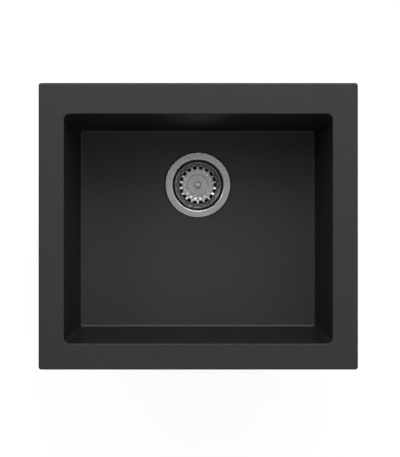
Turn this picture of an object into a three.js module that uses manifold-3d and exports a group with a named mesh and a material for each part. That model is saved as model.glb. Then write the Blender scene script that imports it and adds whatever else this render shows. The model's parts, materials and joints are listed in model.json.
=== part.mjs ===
// An undermount kitchen sink: a granite-composite bowl with a wide flat rim, a basket strainer
// waste in its floor, and eight swivelling clamp plates under the rim.
//
// Millimetres. +X is right, +Y is towards the back, +Z is up. The origin is the middle of the rim's
// top face, the face that is pulled up against the underside of a worktop.

import * as THREE from "three";
import { mergeVertices } from "three/addons/utils/BufferGeometryUtils.js";
import Module from "manifold-3d";

// ---------------------------------------------------------------- driving dimensions

// Rim
const RIM_WIDTH = 557;
const RIM_DEPTH = 500;
const RIM_SIDE = 44.1; // edge to opening, left and right
const RIM_BACK = 53.9;
const RIM_FRONT = 45.4;
const RIM_THICKNESS = 11;
const RIM_CORNER_RADIUS = 5;
const RIM_TOP_ROUND = 3;
const RIM_UNDER_ROUND = 1.2;

// Bowl
const OPENING_CORNER_RADIUS = 10;
const LIP_ROUND = 1.6;
const BOWL_DEPTH = 200; // rim's face to the floor beside the waste
const WALL_DRAFT = 7.1; // degrees off vertical
const FLOOR_ROUND = 5;
const FLOOR_FALL = 3; // from the foot of the walls to the waste
const WALL_THICKNESS = 9;
const FLOOR_THICKNESS = 10;
const UNDER_RIM_ROUND = 7; // cove between the wall's outside and the rim's underside

// Waste: its seat in the floor
const WASTE_FROM_WALL = 92.7; // foot of the back wall to the middle of the waste
const WASTE_HOLE_PLAY = 0.9; // hole round the steel cup
const RECESS_PLAY = 3; // recess round the steel flange
const RECESS_DEPTH = 2.6;

// Waste: steel flange and cup, pressed in one
const FLANGE_RADIUS = 57.5;
const FLANGE_WIDTH = 12.2; // from the steel cup's outside
const FLANGE_SHEET = 0.9;
const FLANGE_LIP_ROUND = 2.7;
const CUP_PLAY = 3; // cup round the basket
const CUP_FOOT_ROUND = 5;
const DRAIN_HOLE_RADIUS = 4.6;
const DRAIN_HOLE_COUNT = 8;

// Waste: gasket, moulded body and its cross under the bowl
const LOWER_GASKET_THICKNESS = 4;
const BODY_FLANGE_WIDTH = 10.9;
const BODY_FLANGE_THICKNESS = 4;
const BODY_PLAY = 1.8; // body round the steel cup
const BODY_WALL = 3;
const FUNNEL_CLEARANCE = 1; // under the steel cup
const FUNNEL_DROP = 12;
const OUTLET_RADIUS = 23.9; // outside of a 1 1/2 inch pipe thread
const OUTLET_WALL = 3.4;
const OUTLET_LENGTH = 27;
const HUB_RADIUS = 12.5;
const HUB_HEIGHT = 16;
const HUB_ARM_COUNT = 4;
const HUB_ARM_THICKNESS = 3.5;
const HUB_ARM_HEIGHT = 8;

// Waste: centre screw that pulls the flange and the body together
const CENTRE_SCREW_RADIUS = 4.9;
const CENTRE_SCREW_PAST = 3; // below the nut
const CENTRE_HEAD_RADIUS = 8.5;
const CENTRE_HEAD_HEIGHT = 4;
const CENTRE_WASHER_RADIUS = 10;
const CENTRE_WASHER_THICKNESS = 1;
const CENTRE_NUT_ACROSS_FLATS = 16;
const CENTRE_NUT_HEIGHT = 8;
const STEM_BORE_DEPTH = 16; // blind bore down the screw, for the basket's stem

// Strainer basket
const BASKET_DEPTH = 26.6;
const BASKET_SHEET = 0.8;
const BASKET_RIM_DROP = 3.4; // flange's face down to the basket's rim
const BASKET_RIM_ROUND = 0.9;
const BASKET_FLAT_RADIUS = 27.8; // flat part of the basket's bottom
const BASKET_EDGE_SLOPE = 20; // degrees, of the bottom's edge outside the flat part
const BASKET_EDGE_WIDTH = 5;
const BASKET_FOOT_ROUND = 2.5;
const PANEL_RADIUS = 19.2; // the bottom's middle is pressed down inside this circle
const PANEL_DROP = 0.8;
const SLOT_COUNT = 18;
const SLOT_WIDTH = 7.6;
const SLOT_CORNER = 1.6;
const SLOT_INSET = 0.7; // slots start this far outside the flat part of the bottom
const SLOT_HEIGHT = 9; // up the basket's wall
const KNOB_RADIUS = 5.5;
const KNOB_NECK_RADIUS = 3.9;
const KNOB_FOOT_RADIUS = 5.9;
const KNOB_HEIGHT = 12.4;
const KNOB_DOME = 3.6;
const KNOB_UNDERCUT = 1.6; // height of the slope from the dome in to the neck
const KNOB_CROWN = 4.4; // left above the stem's socket
const STEM_RADIUS = 2.4;
const BACKING_WASHER_RADIUS = 12;
const BACKING_WASHER_THICKNESS = 1;
const SEAL_HUB_RADIUS = 11;
const SEAL_HUB_HEIGHT = 4;
const SEAL_RADIUS = 34;
const SEAL_LIP_WIDTH = 8;
const SEAL_SKIRT_THICKNESS = 1.9;
const SUPPORT_WASHER_RADIUS = 8;
const SUPPORT_WASHER_THICKNESS = 1;
const LOCK_NUT_ACROSS_FLATS = 8;
const LOCK_NUT_HEIGHT = 2.6;
const LOCK_NUT_CLEARANCE = 0.8; // above the centre screw's head

// Fixings under the rim
const FIXING_SPREAD_X = 140; // front and back fixings, each side of the middle
const FIXING_SPREAD_Y = 120; // left and right fixings, each side of the middle
const PAD_RADIUS = 8.5;
const PAD_HEIGHT = 3;
const INSERT_RADIUS = 3.8;
const INSERT_LENGTH = 9;
const INSERT_HOLE_SPARE = 1; // the blind hole goes on past the insert
const PLATE_HALF_WIDTH = 9.5;
const PLATE_REACH = 38; // screw to the middle of the plate's far end
const PLATE_THICKNESS = 2.5;
const PLATE_SLOT_WIDTH = 6.6;
const PLATE_SLOT_LENGTH = 18;
const CLAMP_SCREW_RADIUS = 2.5;
const CLAMP_SCREW_SHORT = 0.5; // its tip stops before the insert's end
const CLAMP_HEAD_RADIUS = 4.7;
const CLAMP_HEAD_HEIGHT = 3.2;
const CLAMP_HEAD_BEVEL = 1.4;
const CLAMP_WASHER_RADIUS = 6;
const CLAMP_WASHER_THICKNESS = 1;

// Clearances and facets
const THREAD_GAP = 0.15; // between a screw, stem or nut and what is round it
const SEAT_GAP = 0.3; // between a loose or soft piece and its seat
const CUT_PAST = 2; // how far a cutter runs past the face that it cuts
const CORNER_STEPS = 5;
const ARC_STEPS = 4;
const ROUND_STEPS = 36;
const SMALL_STEPS = 12;
const OUTLINE_STEPS = 4;

// ---------------------------------------------------------------- places worked out from them

const openingWidth = RIM_WIDTH - 2 * RIM_SIDE;
const openingDepth = RIM_DEPTH - RIM_BACK - RIM_FRONT;
const openingY = (RIM_FRONT - RIM_BACK) / 2;

const draftTangent = Math.tan(THREE.MathUtils.degToRad(WALL_DRAFT));
const floorZ = -BOWL_DEPTH; // also the height of the waste flange's face
const floorEdgeZ = floorZ + FLOOR_FALL;
const bowlUnderZ = floorZ - FLOOR_THICKNESS;
const floorBackY = openingY + openingDepth / 2 + floorEdgeZ * draftTangent - FLOOR_ROUND;
const wasteY = floorBackY - WASTE_FROM_WALL;

const basketTopZ = floorZ - BASKET_RIM_DROP;
const basketFloorZ = basketTopZ - BASKET_DEPTH + BASKET_SHEET / 2; // middle of the sheet
const panelZ = basketFloorZ - PANEL_DROP; // middle of the sheet
const knobFootZ = panelZ + BASKET_SHEET / 2;
const socketTopZ = knobFootZ + KNOB_HEIGHT - KNOB_CROWN;
const backingTopZ = panelZ - BASKET_SHEET / 2;
const sealTopZ = backingTopZ - BACKING_WASHER_THICKNESS;
const supportTopZ = sealTopZ - SEAL_HUB_HEIGHT;
const lockNutTopZ = supportTopZ - SUPPORT_WASHER_THICKNESS;
const lockNutEndZ = lockNutTopZ - LOCK_NUT_HEIGHT;

const centreHeadTopZ = lockNutEndZ - LOCK_NUT_CLEARANCE;
const centreWasherTopZ = centreHeadTopZ - CENTRE_HEAD_HEIGHT;
const cupFloorZ = centreWasherTopZ - CENTRE_WASHER_THICKNESS; // the cup's inside
const cupUnderZ = cupFloorZ - FLANGE_SHEET;
const cupRadius = FLANGE_RADIUS - FLANGE_WIDTH; // the cup's outside
const basketRadius = cupRadius - FLANGE_SHEET - CUP_PLAY;
const recessZ = floorZ - RECESS_DEPTH;
const stemBoreEndZ = centreHeadTopZ - STEM_BORE_DEPTH;

const bodyTopZ = bowlUnderZ - LOWER_GASKET_THICKNESS;
const bodyBoreRadius = cupRadius + BODY_PLAY;
const bodyFlangeRadius = bodyBoreRadius + BODY_FLANGE_WIDTH;
const hubEndZ = cupUnderZ - HUB_HEIGHT;
const funnelTopZ = cupUnderZ - FUNNEL_CLEARANCE;
const outletTopZ = funnelTopZ - FUNNEL_DROP;
const outletEndZ = outletTopZ - OUTLET_LENGTH;

const padZ = -RIM_THICKNESS - PAD_HEIGHT;
const plateUnderZ = padZ - PLATE_THICKNESS;
const clampHeadTopZ = plateUnderZ - CLAMP_WASHER_THICKNESS;

// ---------------------------------------------------------------- materials

const composite = new THREE.MeshStandardMaterial({ color: 0x3f423f, roughness: 0.62, metalness: 0 });
const brushedSteel = new THREE.MeshStandardMaterial({ color: 0x9a9b9c, roughness: 0.34, metalness: 1 });
const rubber = new THREE.MeshStandardMaterial({ color: 0x1b1b1c, roughness: 0.85, metalness: 0 });
const whitePlastic = new THREE.MeshStandardMaterial({ color: 0xc9cac6, roughness: 0.5, metalness: 0 });
const brass = new THREE.MeshStandardMaterial({ color: 0xb08c46, roughness: 0.4, metalness: 1 });
const zincPlate = new THREE.MeshStandardMaterial({ color: 0xa9adb0, roughness: 0.45, metalness: 1 });

// ---------------------------------------------------------------- solids and booleans

const wasm = await Module();
wasm.setup();

function toSolid(geometry) {
  const bare = geometry.clone();
  bare.deleteAttribute("normal");
  bare.deleteAttribute("uv");
  const merged = mergeVertices(bare, 1e-4);
  return new wasm.Manifold(
    new wasm.Mesh({
      numProp: 3,
      vertProperties: merged.attributes.position.array,
      triVerts: new Uint32Array(merged.index.array),
    }),
  );
}

function toGeometry(solid) {
  const mesh = solid.getMesh();
  const geometry = new THREE.BufferGeometry();
  geometry.setAttribute("position", new THREE.BufferAttribute(mesh.vertProperties, 3));
  geometry.setIndex(new THREE.BufferAttribute(mesh.triVerts, 1));
  geometry.computeVertexNormals();
  return geometry;
}

const joined = (solids) => solids.reduce((all, solid) => all.add(solid));

const spunCopies = (solid, count) =>
  Array.from({ length: count }, (_, i) => solid.rotate([0, 0, (i * 360) / count]));

// A solid of revolution about +Z from a profile of [radius, height] points.
function turned(profile, steps = ROUND_STEPS) {
  const points = profile.map(([radius, height]) => new THREE.Vector2(radius, height));
  const onAxis = profile[0][0] === 0 && profile.at(-1)[0] === 0;
  if (THREE.ShapeUtils.area(points) < 0) points.reverse();
  if (!onAxis) points.push(points[0].clone());
  return toSolid(new THREE.LatheGeometry(points, steps).rotateX(Math.PI / 2));
}

const cylinder = (radius, low, high, steps) =>
  turned([[0, low], [radius, low], [radius, high], [0, high]], steps);

const tube = (inner, outer, low, high, steps) =>
  turned([[inner, low], [outer, low], [outer, high], [inner, high]], steps);

// A flat outline drawn from above, with its holes, pulled up from one height to another.
function extruded(shape, low, high) {
  const options = { depth: high - low, bevelEnabled: false, curveSegments: OUTLINE_STEPS };
  return toSolid(new THREE.ExtrudeGeometry(shape, options).translate(0, 0, low));
}

function hexagon(acrossFlats) {
  const corner = acrossFlats / Math.sqrt(3);
  const corners = Array.from({ length: 6 }, (_, i) => {
    const angle = (i * Math.PI) / 3;
    return new THREE.Vector2(corner * Math.cos(angle), corner * Math.sin(angle));
  });
  return new THREE.Shape(corners);
}

// Traces a bar with round ends, from one end's centre to the other's along X.
function roundEndedBar(path, fromX, toX, radius) {
  path.absarc(fromX, 0, radius, Math.PI / 2, (3 * Math.PI) / 2);
  path.absarc(toX, 0, radius, -Math.PI / 2, Math.PI / 2);
  path.closePath();
  return path;
}

function arc(centreR, centreZ, radius, fromDegrees, toDegrees, steps = ARC_STEPS) {
  return Array.from({ length: steps + 1 }, (_, i) => {
    const angle = THREE.MathUtils.degToRad(fromDegrees + ((toDegrees - fromDegrees) * i) / steps);
    return [centreR + radius * Math.cos(angle), centreZ + radius * Math.sin(angle)];
  });
}

// The outline of a bent sheet: a mid-line of [radius, height] points, thickened to both sides.
function sheetProfile(midLine, thickness) {
  const side = (sign) =>
    midLine.map(([radius, height], i) => {
      const before = midLine[Math.max(i - 1, 0)];
      const after = midLine[Math.min(i + 1, midLine.length - 1)];
      const along = new THREE.Vector2(after[0] - before[0], after[1] - before[1]).normalize();
      const reach = (sign * thickness) / 2;
      return [radius - along.y * reach, height + along.x * reach];
    });
  return [...side(1), ...side(-1).reverse()];
}

// A ring of points round a rectangle with round corners, anticlockwise from above.
function roundedRing({ width, depth, radius, z, y = 0 }) {
  const ring = [];
  for (let corner = 0; corner < 4; corner += 1) {
    const signX = corner === 0 || corner === 3 ? 1 : -1;
    const signY = corner < 2 ? 1 : -1;
    for (let step = 0; step <= CORNER_STEPS; step += 1) {
      const angle = ((corner + step / CORNER_STEPS) * Math.PI) / 2;
      const x = signX * (width / 2 - radius) + radius * Math.cos(angle);
      ring.push(new THREE.Vector3(x, y + signY * (depth / 2 - radius) + radius * Math.sin(angle), z));
    }
  }
  return ring;
}

// A solid through a stack of rings, lowest first. Its ends close on one point each.
function lofted(rings, lowPoint, highPoint) {
  const count = rings[0].length;
  const points = [...rings.flat(), lowPoint, highPoint];
  const low = points.length - 2;
  const high = points.length - 1;
  const top = (rings.length - 1) * count;
  const index = [];
  for (let i = 0; i < count; i += 1) {
    const next = (i + 1) % count;
    for (let base = 0; base < top; base += count) {
      index.push(base + i, base + next, base + count + next);
      index.push(base + i, base + count + next, base + count + i);
    }
    index.push(low, next, i, high, top + i, top + next);
  }
  return toSolid(new THREE.BufferGeometry().setFromPoints(points).setIndex(index));
}

// ---------------------------------------------------------------- sink bowl

// A ring of the bowl's wall at height z. Its wall line is moved out by `outset`, and its corners are
// rounded by as much more, so that walls, coves and the floor's round stay even round the corners.
function wallRing(z, outset) {
  const movedOut = outset + z * draftTangent;
  return roundedRing({
    width: openingWidth + 2 * movedOut,
    depth: openingDepth + 2 * movedOut,
    radius: OPENING_CORNER_RADIUS + outset,
    y: openingY,
    z,
  });
}

// The rounded foot of a wall that stands `outset` outside the bowl's inner wall, lowest ring first.
function footRings(lowZ, outset, round) {
  return arc(outset - round, lowZ + round, round, -90, 0).map(([out, z]) => wallRing(z, out));
}

const ringAtHeight = (ring, z) => ring.map((point) => point.clone().setZ(z));

function bowlCavity() {
  const lip = arc(LIP_ROUND, -LIP_ROUND, LIP_ROUND, 180, 90).map(([out, z]) => wallRing(z, out));
  const rings = [...footRings(floorEdgeZ, 0, FLOOR_ROUND), ...lip, ringAtHeight(lip.at(-1), CUT_PAST)];
  const drain = new THREE.Vector3(0, wasteY, floorZ);
  return lofted(rings, drain, new THREE.Vector3(0, openingY, CUT_PAST));
}

function bowlOutside() {
  const coveOut = WALL_THICKNESS + UNDER_RIM_ROUND;
  const cove = arc(coveOut, -RIM_THICKNESS - UNDER_RIM_ROUND, UNDER_RIM_ROUND, 180, 90);
  const neck = cove.map(([out, z]) => wallRing(z, out));
  const foot = footRings(bowlUnderZ, WALL_THICKNESS, FLOOR_ROUND + WALL_THICKNESS);
  const insideRimZ = -RIM_THICKNESS / 2;
  const rings = [...foot, ...neck, ringAtHeight(neck.at(-1), insideRimZ)];
  const low = new THREE.Vector3(0, openingY, bowlUnderZ);
  return lofted(rings, low, new THREE.Vector3(0, openingY, insideRimZ));
}

function rimPlate() {
  const edge = [
    ...arc(-RIM_UNDER_ROUND, -RIM_THICKNESS + RIM_UNDER_ROUND, RIM_UNDER_ROUND, -90, 0, 2),
    ...arc(-RIM_TOP_ROUND, -RIM_TOP_ROUND, RIM_TOP_ROUND, 0, 90),
  ];
  const rings = edge.map(([out, z]) =>
    roundedRing({
      width: RIM_WIDTH + 2 * out,
      depth: RIM_DEPTH + 2 * out,
      radius: RIM_CORNER_RADIUS + out,
      z,
    }),
  );
  return lofted(rings, new THREE.Vector3(0, 0, -RIM_THICKNESS), new THREE.Vector3(0, 0, 0));
}

// Where the eight fixings are. Each side is drawn as if it were the back one, `out` from the origin
// and `along` to its right, and then turned into its place.
function fixingPlaces() {
  const halfWidth = RIM_WIDTH / 2;
  const halfDepth = RIM_DEPTH / 2;
  const sides = [
    ["back", 0, halfDepth, RIM_BACK, FIXING_SPREAD_X, ["right", "left"]],
    ["left", 90, halfWidth, RIM_SIDE, FIXING_SPREAD_Y, ["back", "front"]],
    ["front", 180, halfDepth, RIM_FRONT, FIXING_SPREAD_X, ["left", "right"]],
    ["right", 270, halfWidth, RIM_SIDE, FIXING_SPREAD_Y, ["front", "back"]],
  ];
  return sides.flatMap(([side, turn, edge, rim, spread, ends]) => {
    const flatUnderRim = rim - WALL_THICKNESS - UNDER_RIM_ROUND;
    const out = edge - flatUnderRim / 2;
    return ends.map((end, i) => ({ name: `${side}_${end}`, turn, out, along: i === 0 ? spread : -spread }));
  });
}

const atEachFixing = (solid) =>
  fixingPlaces().map(({ turn, out, along }) => solid.translate([along, out, 0]).rotate([0, 0, turn]));

function sinkBowl() {
  const pad = cylinder(PAD_RADIUS, padZ, -RIM_THICKNESS / 2, SMALL_STEPS);
  const insertHoleTopZ = padZ + INSERT_LENGTH + INSERT_HOLE_SPARE;
  const insertHole = cylinder(INSERT_RADIUS + THREAD_GAP, padZ - CUT_PAST, insertHoleTopZ, SMALL_STEPS);
  const recess = cylinder(FLANGE_RADIUS + RECESS_PLAY, recessZ, floorEdgeZ + CUT_PAST);
  const wasteHole = cylinder(cupRadius + WASTE_HOLE_PLAY, bowlUnderZ - CUT_PAST, recessZ + CUT_PAST);
  return joined([rimPlate(), bowlOutside(), ...atEachFixing(pad)])
    .subtract(bowlCavity())
    .subtract(joined(atEachFixing(insertHole)))
    .subtract(recess.add(wasteHole).translate([0, wasteY, 0]));
}

// ---------------------------------------------------------------- waste

function wasteFlange() {
  const half = FLANGE_SHEET / 2;
  const wall = cupRadius - half;
  const face = floorZ - half;
  const foot = cupUnderZ + half;
  const midLine = [
    [CENTRE_SCREW_RADIUS + THREAD_GAP, foot],
    ...arc(wall - CUP_FOOT_ROUND, foot + CUP_FOOT_ROUND, CUP_FOOT_ROUND, -90, 0),
    ...arc(wall + FLANGE_LIP_ROUND, face - FLANGE_LIP_ROUND, FLANGE_LIP_ROUND, 180, 90),
    [FLANGE_RADIUS, face],
  ];
  // The drain holes stand half way between the centre screw's washer and the basket seal's lip.
  const circleRadius = (CENTRE_WASHER_RADIUS + SEAL_RADIUS - SEAL_LIP_WIDTH) / 2;
  const drainHole = cylinder(DRAIN_HOLE_RADIUS, foot - CUT_PAST, foot + CUT_PAST, SMALL_STEPS);
  const drainHoles = spunCopies(drainHole.translate([circleRadius, 0, 0]), DRAIN_HOLE_COUNT);
  return turned(sheetProfile(midLine, FLANGE_SHEET)).subtract(joined(drainHoles));
}

const upperSeal = () =>
  tube(cupRadius + FLANGE_LIP_ROUND, FLANGE_RADIUS - SEAT_GAP, recessZ, floorZ - FLANGE_SHEET);

const lowerGasket = () => tube(bodyBoreRadius, bodyFlangeRadius, bodyTopZ, bowlUnderZ);

// The inside of the moulded body, drawn in by `gap`.
function bodyInside(gap) {
  const boreRadius = bodyBoreRadius - gap;
  const outletBoreRadius = OUTLET_RADIUS - OUTLET_WALL - gap;
  return turned([
    [0, bodyTopZ + CUT_PAST],
    [boreRadius, bodyTopZ + CUT_PAST],
    [boreRadius, funnelTopZ],
    [outletBoreRadius, outletTopZ],
    [outletBoreRadius, outletEndZ - CUT_PAST],
    [0, outletEndZ - CUT_PAST],
  ]);
}

function wasteBody() {
  const outside = turned([
    [0, bodyTopZ],
    [bodyFlangeRadius, bodyTopZ],
    [bodyFlangeRadius, bodyTopZ - BODY_FLANGE_THICKNESS],
    [bodyBoreRadius + BODY_WALL, bodyTopZ - BODY_FLANGE_THICKNESS],
    [bodyBoreRadius + BODY_WALL, funnelTopZ - BODY_WALL],
    [OUTLET_RADIUS, outletTopZ - BODY_WALL],
    [OUTLET_RADIUS, outletEndZ],
    [0, outletEndZ],
  ]);
  return outside.subtract(bodyInside(0));
}

// The cross that carries the nut: a hub on arms that reach the body's wall.
function wasteCross() {
  const armTopZ = cupUnderZ - SEAT_GAP;
  const armBox = new THREE.BoxGeometry(bodyBoreRadius, HUB_ARM_THICKNESS, HUB_ARM_HEIGHT);
  armBox.translate(bodyBoreRadius / 2, 0, armTopZ - HUB_ARM_HEIGHT / 2);
  const betweenDrainHoles = [0, 0, 180 / DRAIN_HOLE_COUNT];
  const armCross = joined(spunCopies(toSolid(armBox), HUB_ARM_COUNT)).rotate(betweenDrainHoles);
  const arms = armCross.intersect(bodyInside(SEAT_GAP));
  const hub = cylinder(HUB_RADIUS, hubEndZ, cupUnderZ, SMALL_STEPS);
  const holeRadius = CENTRE_SCREW_RADIUS + THREAD_GAP;
  const screwHole = cylinder(holeRadius, hubEndZ - CUT_PAST, cupUnderZ + CUT_PAST, SMALL_STEPS);
  const nutSeatZ = hubEndZ + CENTRE_NUT_HEIGHT;
  const pocketFlats = CENTRE_NUT_ACROSS_FLATS + 2 * THREAD_GAP;
  const nutPocket = extruded(hexagon(pocketFlats), hubEndZ - CUT_PAST, nutSeatZ);
  return arms.add(hub).subtract(screwHole).subtract(nutPocket);
}

function centreScrew() {
  const endZ = hubEndZ - CENTRE_SCREW_PAST;
  const profile = [
    [0, endZ],
    [CENTRE_SCREW_RADIUS, endZ],
    [CENTRE_SCREW_RADIUS, centreWasherTopZ],
    [CENTRE_HEAD_RADIUS, centreWasherTopZ],
    [CENTRE_HEAD_RADIUS, centreHeadTopZ],
    [STEM_RADIUS + THREAD_GAP, centreHeadTopZ],
    [STEM_RADIUS + THREAD_GAP, stemBoreEndZ],
    [0, stemBoreEndZ],
  ];
  return turned(profile, SMALL_STEPS);
}

const centreWasher = () =>
  tube(CENTRE_SCREW_RADIUS + THREAD_GAP, CENTRE_WASHER_RADIUS, cupFloorZ, centreWasherTopZ, SMALL_STEPS);

function hexNut(acrossFlats, boreRadius, low, high) {
  const bore = cylinder(boreRadius, low - CUT_PAST, high + CUT_PAST, SMALL_STEPS);
  return extruded(hexagon(acrossFlats), low, high).subtract(bore);
}

const centreNut = () =>
  hexNut(CENTRE_NUT_ACROSS_FLATS, CENTRE_SCREW_RADIUS + THREAD_GAP, hubEndZ, hubEndZ + CENTRE_NUT_HEIGHT);

// ---------------------------------------------------------------- strainer basket

// The line through the sheet's middle from the bottom's flat part to the rolled rim: a sloping edge,
// a round at the wall's foot, and a wall that leans out so far that it touches both rounds.
function basketSide(rimR, rimZ) {
  const slope = THREE.MathUtils.degToRad(BASKET_EDGE_SLOPE);
  const edgeRise = BASKET_EDGE_WIDTH * Math.tan(slope);
  const footR = BASKET_FLAT_RADIUS + BASKET_EDGE_WIDTH - BASKET_FOOT_ROUND * Math.sin(slope);
  const footZ = basketFloorZ + edgeRise + BASKET_FOOT_ROUND * Math.cos(slope);
  const across = rimR - BASKET_RIM_ROUND - footR;
  const up = rimZ - footZ;
  const lean = Math.atan2(across, up) - Math.asin(BASKET_FOOT_ROUND / Math.hypot(across, up));
  return [
    [BASKET_FLAT_RADIUS, basketFloorZ],
    ...arc(footR, footZ, BASKET_FOOT_ROUND, BASKET_EDGE_SLOPE - 90, -THREE.MathUtils.radToDeg(lean)),
    ...arc(rimR, rimZ, BASKET_RIM_ROUND, 180, 0),
  ];
}

// A slot starts with two round corners inside the wall and runs straight out through it.
function slotCutter() {
  const half = SLOT_WIDTH / 2;
  const start = BASKET_FLAT_RADIUS + SLOT_INSET;
  const outline = new THREE.Shape();
  outline.moveTo(basketRadius + CUT_PAST, half);
  outline.absarc(start + SLOT_CORNER, half - SLOT_CORNER, SLOT_CORNER, Math.PI / 2, Math.PI);
  outline.absarc(start + SLOT_CORNER, SLOT_CORNER - half, SLOT_CORNER, Math.PI, (3 * Math.PI) / 2);
  outline.lineTo(basketRadius + CUT_PAST, -half);
  outline.closePath();
  return extruded(outline, basketFloorZ - CUT_PAST, basketFloorZ + SLOT_HEIGHT);
}

function basketCup() {
  const rimR = basketRadius - BASKET_SHEET / 2 - BASKET_RIM_ROUND;
  const rimZ = basketTopZ - BASKET_SHEET / 2 - BASKET_RIM_ROUND;
  const midLine = [
    [STEM_RADIUS + THREAD_GAP, panelZ],
    [PANEL_RADIUS - PANEL_DROP, panelZ],
    [PANEL_RADIUS, basketFloorZ],
    ...basketSide(rimR, rimZ),
  ];
  const cup = turned(sheetProfile(midLine, BASKET_SHEET), 2 * SLOT_COUNT);
  return cup.subtract(joined(spunCopies(slotCutter(), SLOT_COUNT)));
}

function basketKnob() {
  const topZ = knobFootZ + KNOB_HEIGHT;
  const domeZ = topZ - KNOB_DOME;
  const dome = arc(0, 0, 1, 90, 0).map(([r, z]) => [r * KNOB_RADIUS, domeZ + z * KNOB_DOME]);
  const profile = [
    [0, topZ],
    ...dome.slice(1),
    [KNOB_NECK_RADIUS, domeZ - KNOB_UNDERCUT],
    [KNOB_NECK_RADIUS, knobFootZ + KNOB_FOOT_RADIUS - KNOB_NECK_RADIUS],
    [KNOB_FOOT_RADIUS, knobFootZ],
    [STEM_RADIUS + THREAD_GAP, knobFootZ],
    [STEM_RADIUS + THREAD_GAP, socketTopZ],
    [0, socketTopZ],
  ];
  return turned(profile, SMALL_STEPS);
}

const basketStem = () =>
  cylinder(STEM_RADIUS, stemBoreEndZ + SEAT_GAP, socketTopZ - SEAT_GAP, SMALL_STEPS);

const backingWasher = () =>
  tube(STEM_RADIUS + THREAD_GAP, BACKING_WASHER_RADIUS, sealTopZ, backingTopZ, SMALL_STEPS);

// A rubber disc whose skirt reaches down to the cup's floor, outside the ring of drain holes.
function basketSeal() {
  const lipZ = cupFloorZ + SEAT_GAP;
  return turned([
    [STEM_RADIUS + THREAD_GAP, sealTopZ],
    [SEAL_HUB_RADIUS, sealTopZ],
    [SEAL_RADIUS, lipZ + SEAL_SKIRT_THICKNESS],
    [SEAL_RADIUS, lipZ],
    [SEAL_RADIUS - SEAL_LIP_WIDTH, lipZ],
    [SEAL_HUB_RADIUS, supportTopZ],
    [STEM_RADIUS + THREAD_GAP, supportTopZ],
  ]);
}

const supportWasher = () =>
  tube(STEM_RADIUS + THREAD_GAP, SUPPORT_WASHER_RADIUS, lockNutTopZ, supportTopZ, SMALL_STEPS);

const lockNut = () => hexNut(LOCK_NUT_ACROSS_FLATS, STEM_RADIUS + THREAD_GAP, lockNutEndZ, lockNutTopZ);

// ---------------------------------------------------------------- fixings

const threadedInsert = () =>
  tube(CLAMP_SCREW_RADIUS + THREAD_GAP, INSERT_RADIUS, padZ, padZ + INSERT_LENGTH, SMALL_STEPS);

// A bar from its pivot along X, with a slot near its far end.
function clampPlate() {
  const slotReach = PLATE_SLOT_LENGTH - PLATE_SLOT_WIDTH;
  const outline = roundEndedBar(new THREE.Shape(), 0, PLATE_REACH, PLATE_HALF_WIDTH);
  const slot = roundEndedBar(new THREE.Path(), PLATE_REACH - slotReach, PLATE_REACH, PLATE_SLOT_WIDTH / 2);
  outline.holes = [slot];
  const pivotRadius = CLAMP_SCREW_RADIUS + THREAD_GAP;
  const pivotHole = cylinder(pivotRadius, plateUnderZ - CUT_PAST, padZ + CUT_PAST, SMALL_STEPS);
  return extruded(outline, plateUnderZ, padZ).subtract(pivotHole);
}

const clampWasher = () =>
  tube(CLAMP_SCREW_RADIUS + THREAD_GAP, CLAMP_WASHER_RADIUS, clampHeadTopZ, plateUnderZ, SMALL_STEPS);

function clampScrew() {
  const tipZ = padZ + INSERT_LENGTH - CLAMP_SCREW_SHORT;
  const headZ = clampHeadTopZ - CLAMP_HEAD_HEIGHT;
  const profile = [
    [0, headZ],
    [CLAMP_HEAD_RADIUS - CLAMP_HEAD_BEVEL, headZ],
    [CLAMP_HEAD_RADIUS, headZ + CLAMP_HEAD_BEVEL],
    [CLAMP_HEAD_RADIUS, clampHeadTopZ],
    [CLAMP_SCREW_RADIUS, clampHeadTopZ],
    [CLAMP_SCREW_RADIUS, tipZ],
    [0, tipZ],
  ];
  return turned(profile, SMALL_STEPS);
}

// ---------------------------------------------------------------- the assembly

function part(name, solid, material) {
  const mesh = new THREE.Mesh(toGeometry(solid), material);
  mesh.name = name;
  return mesh;
}

const basket = new THREE.Group();
basket.add(
  part("basket_cup", basketCup(), brushedSteel),
  part("basket_knob", basketKnob(), brushedSteel),
  part("basket_stem", basketStem(), brushedSteel),
  part("basket_backing_washer", backingWasher(), brushedSteel),
  part("basket_seal", basketSeal(), rubber),
  part("basket_support_washer", supportWasher(), brushedSteel),
  part("basket_lock_nut", lockNut(), brushedSteel),
);

const waste = new THREE.Group();
waste.position.y = wasteY;
waste.add(
  part("waste_flange", wasteFlange(), brushedSteel),
  part("waste_upper_seal", upperSeal(), rubber),
  part("waste_lower_gasket", lowerGasket(), rubber),
  part("waste_body", wasteBody(), whitePlastic),
  part("waste_cross", wasteCross(), whitePlastic),
  part("waste_centre_screw", centreScrew(), brushedSteel),
  part("waste_centre_washer", centreWasher(), whitePlastic),
  part("waste_centre_nut", centreNut(), brass),
  basket,
);

// One fixing. Its plate is turned in under the rim and points to the middle of its side.
function fixing({ name, turn, out, along }) {
  const plate = part(`clamp_plate_${name}`, clampPlate(), zincPlate);
  plate.rotation.z = along > 0 ? Math.PI : 0;
  const set = new THREE.Group();
  set.position.set(along, out, 0);
  set.add(
    plate,
    part(`clamp_insert_${name}`, threadedInsert(), brass),
    part(`clamp_washer_${name}`, clampWasher(), zincPlate),
    part(`clamp_screw_${name}`, clampScrew(), zincPlate),
  );
  const side = new THREE.Group();
  side.rotation.z = THREE.MathUtils.degToRad(turn);
  side.add(set);
  return side;
}

const sink = new THREE.Group();
sink.add(part("sink_bowl", sinkBowl(), composite), waste, ...fixingPlaces().map(fixing));

export default sink;
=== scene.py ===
import json
import math

import bmesh
import bpy
from mathutils import Matrix, Vector
from mathutils.geometry import delaunay_2d_cdt

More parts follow.
